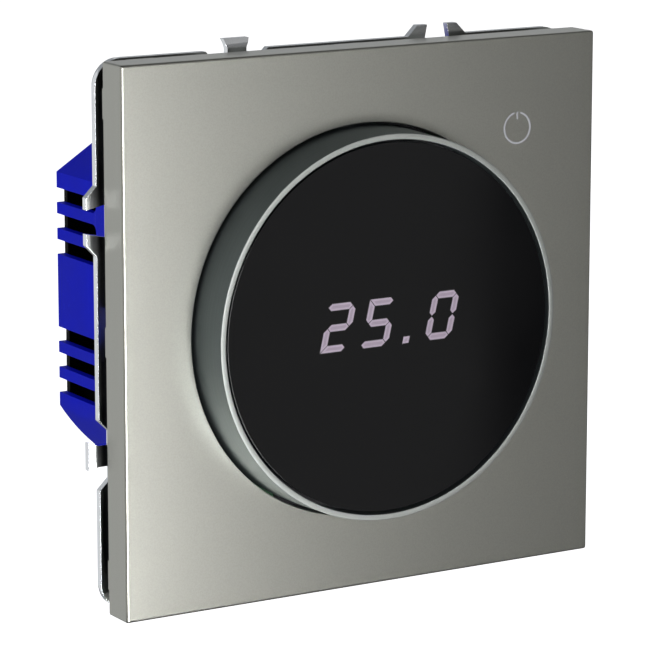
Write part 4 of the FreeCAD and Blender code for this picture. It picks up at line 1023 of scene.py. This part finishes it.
def mark_inside_painted_shade(housing, s):
    """Marks the faces inside the housing, which are painted near black as painted shade.

    A face is inside once its middle lies past four fifths of the wall, unless it is in the bore
    over a screw.
    """
    inside_painted_shade = housing.data.attributes.new("inside_painted_shade", "FLOAT", "FACE")
    rear = HOUSING_HIGH.y - s.rear_wall / 2
    for face in housing.data.polygons:
        x, y, z = face.center
        in_bore = math.hypot(abs(x) - s.boss_x, abs(z) - s.boss_z) < 1.1 * s.boss_bore
        inside = depth_in_wall(s, x, z) > 0.8 * s.wall and y < rear and not in_bore
        inside_painted_shade.data[face.index].value = 1.0 if inside else 0.0


class THERMOSTAT_OT_housing(bpy.types.Operator):
    """Make the moulded rear housing with its vents"""

    bl_idname = "thermostat.housing"
    bl_label = "Rear housing"

    def execute(self, context):
        s = context.scene.thermostat_housing
        housing = softened_copy("rear_housing", "rear_housing_finished", s.edge_break)
        mark_inside_painted_shade(housing, s)
        stand_for(housing, "rear_housing", "base", "housing_plastic")
        return {"FINISHED"}


def screw_tree():
    """Tree that sets a cross-recess screw on every point, its head towards the wall.

    The head is a cone, so one tree makes countersunk and pan heads; the shank runs on below it.
    """
    sizes = dict.fromkeys(
        ("Head base radius", "Head top radius", "Head height", "Shank radius", "Shank length",
         "Recess length", "Recess width", "Recess depth"), 1.0 * MM
    )
    tree, names, given = start_tree(
        "Cross-recess screws", "Places", dict({"Steps round": SCREW_STEPS}, **sizes)
    )
    head = add(
        tree, "GeometryNodeMeshCone",
        {"Vertices": given["Steps round"], "Radius Top": given["Head top radius"],
         "Radius Bottom": given["Head base radius"], "Depth": given["Head height"]},
    ).outputs["Mesh"]
    # The shank starts a little inside the head, so that the two join as one solid.
    third = {0: given["Head height"], 1: 0.3}
    overlap = add(tree, "ShaderNodeMath", third, operation="MULTIPLY").outputs[0]
    whole = {0: given["Shank length"], 1: overlap}
    reach = add(tree, "ShaderNodeMath", whole, operation="ADD").outputs[0]
    shank = add(
        tree, "GeometryNodeMeshCylinder",
        {"Vertices": given["Steps round"], "Radius": given["Shank radius"], "Depth": reach},
    ).outputs["Mesh"]
    half_down = {0: reach, 1: -0.5, 2: overlap}
    middle = add(tree, "ShaderNodeMath", half_down, operation="MULTIPLY_ADD").outputs[0]
    twice = {0: given["Recess depth"], 1: 2.0}
    double_depth = add(tree, "ShaderNodeMath", twice, operation="MULTIPLY").outputs[0]
    below = add(tree, "ShaderNodeCombineXYZ", {"Z": middle}).outputs[0]
    at_top = add(tree, "ShaderNodeCombineXYZ", {"Z": given["Head height"]}).outputs[0]
    lowered = {"Geometry": shank, "Translation": below}
    shank = add(tree, "GeometryNodeTransform", lowered).outputs["Geometry"]
    body = add(tree, "GeometryNodeMeshBoolean", operation="UNION", solver="EXACT")
    tree.links.new(head, body.inputs["Mesh 2"])
    tree.links.new(shank, body.inputs["Mesh 2"])
    cross = add(tree, "GeometryNodeMeshBoolean", operation="UNION", solver="EXACT")
    for first, second in (("Recess length", "Recess width"), ("Recess width", "Recess length")):
        sides = {"X": given[first], "Y": given[second], "Z": double_depth}
        size = add(tree, "ShaderNodeCombineXYZ", sides).outputs[0]
        arm = add(tree, "GeometryNodeMeshCube", {"Size": size}).outputs["Mesh"]
        lifted = {"Geometry": arm, "Translation": at_top}
        arm = add(tree, "GeometryNodeTransform", lifted).outputs["Geometry"]
        tree.links.new(arm, cross.inputs["Mesh 2"])
    operands = {"Mesh 1": body.outputs["Mesh"], "Mesh 2": cross.outputs["Mesh"]}
    cut = add(tree, "GeometryNodeMeshBoolean", operation="DIFFERENCE", solver="EXACT")
    feed(tree, cut, operands)
    placed = add(
        tree, "GeometryNodeInstanceOnPoints",
        {"Points": given["Places"], "Instance": cut.outputs["Mesh"],
         "Rotation": (-math.pi / 2, 0.0, 0.0)},
    ).outputs["Instances"]
    end_tree(tree, placed, given["Material"])
    return tree, names


# Round along the edges of the screws' heads and recesses.
SCREW_EDGE = 0.06 * MM
# Width of a pan head's top, as a share of its base.
PAN_TOP = 0.9


def set_screws(node, base_y, high, values):
    """Makes four screws at the corners of a node's box, their heads' base at base_y."""
    name = node + "_finished"
    reach = max(values["Head base radius"], values["Head top radius"])
    x, z = high.x - reach, high.z - reach
    screws = outline_object(name, [(i * x, base_y, j * z) for i in (-1, 1) for j in (-1, 1)])
    given = {"Steps round": SCREW_STEPS, "Material": finish_for("screw_steel")}
    run_tree(screws, *screw_tree(), dict(values, **given))
    rounded = screws.modifiers.new("Edge break", "BEVEL")
    rounded.width, rounded.segments = SCREW_EDGE, 2
    rounded.limit_method, rounded.angle_limit = "ANGLE", CREASE_ANGLE
    apply_modifiers(screws)
    shade_smooth(screws)
    stand_for(screws, node, "base", "screw_steel")


class THERMOSTAT_OT_screws(bpy.types.Operator):
    """Set the strap's countersunk screws and the housing's pan-head screws"""

    bl_idname = "thermostat.screws"
    bl_label = "Screws"

    def execute(self, context):
        s = context.scene.thermostat_strap
        recess = {
            "Shank radius": s.screw_shank,
            "Recess length": s.screw_recess,
            "Recess width": s.screw_recess_width,
            "Recess depth": s.screw_recess_depth,
        }
        base = STRAP_LOW.y
        sunk = {
            "Head base radius": s.screw_shank,
            "Head top radius": s.screw_head,
            "Head height": STRAP_SCREWS_HIGH.y - base,
            "Shank length": base - STRAP_SCREWS_LOW.y,
        }
        set_screws("strap_screws", base, STRAP_SCREWS_HIGH, dict(recess, **sunk))
        height = context.scene.thermostat_housing.head_height
        base = HOUSING_SCREWS_HIGH.y - height
        pan = {
            "Head base radius": s.screw_head,
            "Head top radius": PAN_TOP * s.screw_head,
            "Head height": height,
            "Shank length": base - HOUSING_SCREWS_LOW.y,
        }
        set_screws("housing_screws", base, HOUSING_SCREWS_HIGH, dict(recess, **pan))
        return {"FINISHED"}


# ---------------------------------------------------------------- carried-over nodes


class THERMOSTAT_OT_finishes(bpy.types.Operator):
    """Give every piece that keeps its own shape its real material"""

    bl_idname = "thermostat.finishes"
    bl_label = "Finishes"

    def execute(self, context):
        for part in frame["record"]["subparts"]:
            node = frame["nodes"][part["node"]]
            finish = finish_for(part["material_slot"])
            for place in node.material_slots:
                place.material = finish
            if not node.material_slots:
                node.data.materials.append(finish)
        return {"FINISHED"}


# ---------------------------------------------------------------- stage

CAMERA_PLACE = (-0.23489, -0.38577, 0.08988)
SENSOR_WIDTH = 36.0
FLOOR_HALF = 4.0
MIDDLE = (0.0, 0.0, 0.0)
# Softboxes: name, place, what it is aimed at, width, height and power in watts.
SOFTBOXES = (
    ("key_softbox", (-0.02, -0.36, -0.115), MIDDLE, 0.18, 0.30, 3.4),
    ("rear_left_softbox", (-0.45, 0.55, -0.05), MIDDLE, 0.7, 0.9, 0.9),
    ("rear_right_softbox", (0.45, 0.55, 0.40), MIDDLE, 0.5, 0.5, 0.25),
    ("upper_right_softbox", (0.30, -0.45, 0.30), MIDDLE, 0.3, 0.3, 0.11),
    ("dim_card", (0.065, -0.40, -0.10), (0.065, 0.0, -0.10), 0.42, 0.50, 0.12),
    ("left_softbox", (-0.60, -0.10, 0.10), MIDDLE, 0.7, 0.8, 1.3),
)


def floor_material(settings):
    # Pale seamless studio paper: matt, with the slight unevenness of its fibres.
    tone = tuple(settings.floor_tone)
    material, tree, shader, where = start_material(
        "Pale seamless studio paper",
        {"Roughness": 0.9, "Emission Color": tone, "Emission Strength": 1.0},
    )
    fibres = add(tree, "ShaderNodeTexNoise", blotches(where, 2.0, 3.0)).outputs["Fac"]
    vary(tree, shader, "Base Color", fibres, scaled_colour(tone, 0.99), tone, 0.0, 1.0)
    raise_relief(tree, shader, fibres, 0.02, 0.2)
    return material


def add_floor(settings):
    """Paper that the camera alone sees, so that it casts no light back on the device."""
    z = CAD_BOX[0][2] - settings.floor_drop
    bm = bmesh.new()
    corners = [(-FLOOR_HALF, -FLOOR_HALF), (FLOOR_HALF, -FLOOR_HALF), (FLOOR_HALF, FLOOR_HALF),
               (-FLOOR_HALF, FLOOR_HALF)]
    bm.faces.new([bm.verts.new((x, y, z)) for x, y in corners])
    floor = new_object("studio_floor", bm)
    floor.data.materials.append(floor_material(settings))
    floor.visible_glossy = False
    floor.visible_diffuse = False


def add_softbox(name, where, aim, width, height, power):
    """Rectangular area light that isn't itself in view."""
    data = bpy.data.lights.new(name, "AREA")
    data.shape = "RECTANGLE"
    data.size, data.size_y = width, height
    data.energy = power
    light = place(name, data)
    light.location = where
    light.rotation_euler = (Vector(aim) - Vector(where)).to_track_quat("-Z", "Y").to_euler()
    light.visible_camera = False


def add_camera(settings):
    data = bpy.data.cameras.new("product_camera")
    data.lens = settings.lens
    data.sensor_width = SENSOR_WIDTH
    camera = place("product_camera", data)
    camera.location = CAMERA_PLACE
    level = math.cos(settings.elevation)
    look = Vector((
        math.sin(settings.azimuth) * level, math.cos(settings.azimuth) * level,
        -math.sin(settings.elevation),
    ))
    camera.rotation_euler = look.to_track_quat("-Z", "Y").to_euler()
    bpy.context.scene.camera = camera


def add_room():
    """White to the camera; to the device, a room that is dim in front of it and pale behind."""
    world = bpy.data.worlds.new("studio_room")
    bpy.context.scene.world = world
    world.use_nodes = True
    tree = world.node_tree
    tree.nodes.clear()
    seen = add(tree, "ShaderNodeBackground", {"Color": linear("FFFFFF"), "Strength": 1.0})
    direction = add(tree, "ShaderNodeTexCoord").outputs["Generated"]
    away = add(tree, "ShaderNodeSeparateXYZ", {0: direction}).outputs["Y"]
    dim_to_pale = {"Value": away, "From Min": 0.0, "From Max": 0.6, "To Min": 0.03, "To Max": 0.4}
    strength = add(tree, "ShaderNodeMapRange", dim_to_pale).outputs["Result"]
    room = add(tree, "ShaderNodeBackground", {"Color": linear("E8ECF0"), "Strength": strength})
    to_camera = add(tree, "ShaderNodeLightPath").outputs["Is Camera Ray"]
    both = {0: to_camera, 1: room.outputs[0], 2: seen.outputs[0]}
    mix = add(tree, "ShaderNodeMixShader", both)
    add(tree, "ShaderNodeOutputWorld", {"Surface": mix.outputs[0]})


class THERMOSTAT_OT_stage(bpy.types.Operator):
    """Set the pale floor, the soft light and the camera"""

    bl_idname = "thermostat.stage"
    bl_label = "Stage"

    def execute(self, context):
        settings = context.scene.thermostat_stage
        add_floor(settings)
        for softbox in SOFTBOXES:
            add_softbox(*softbox)
        add_camera(settings)
        add_room()
        context.scene.view_settings.view_transform = "Standard"
        return {"FINISHED"}


# ---------------------------------------------------------------- panel and main


OPERATORS = (
    THERMOSTAT_OT_plate,
    THERMOSTAT_OT_symbol,
    THERMOSTAT_OT_dial,
    THERMOSTAT_OT_window,
    THERMOSTAT_OT_digits,
    THERMOSTAT_OT_strap,
    THERMOSTAT_OT_housing,
    THERMOSTAT_OT_screws,
    THERMOSTAT_OT_finishes,
    THERMOSTAT_OT_stage,
)
SETTINGS = {
    "thermostat_plate": PlateSettings,
    "thermostat_dial": DialSettings,
    "thermostat_display": DisplaySettings,
    "thermostat_strap": StrapSettings,
    "thermostat_housing": HousingSettings,
    "thermostat_stage": StageSettings,
}


class THERMOSTAT_PT_panel(bpy.types.Panel):
    """Lists the pieces of the thermostat"""

    bl_idname = "THERMOSTAT_PT_panel"
    bl_label = "Wall thermostat"
    bl_space_type = "VIEW_3D"
    bl_region_type = "UI"
    bl_category = "Thermostat"

    def draw(self, context):
        for operator in OPERATORS:
            self.layout.operator(operator.bl_idname)
        for name, group in SETTINGS.items():
            box = self.layout.box()
            box.label(text=name.split("_")[1].capitalize())
            for key in group.__annotations__:
                box.prop(getattr(context.scene, name), key)


def register():
    for group in SETTINGS.values():
        bpy.utils.register_class(group)
    for operator in OPERATORS:
        bpy.utils.register_class(operator)
    bpy.utils.register_class(THERMOSTAT_PT_panel)
    for name, group in SETTINGS.items():
        setattr(bpy.types.Scene, name, bpy.props.PointerProperty(type=group))


def unregister():
    for name in SETTINGS:
        delattr(bpy.types.Scene, name)
    bpy.utils.unregister_class(THERMOSTAT_PT_panel)
    for operator in reversed(OPERATORS):
        bpy.utils.unregister_class(operator)
    for group in reversed(list(SETTINGS.values())):
        bpy.utils.unregister_class(group)


def main():
    register()
    for operator in OPERATORS:
        family, name = operator.bl_idname.split(".")
        getattr(getattr(bpy.ops, family), name)()


if __name__ == "__main__":
    main()
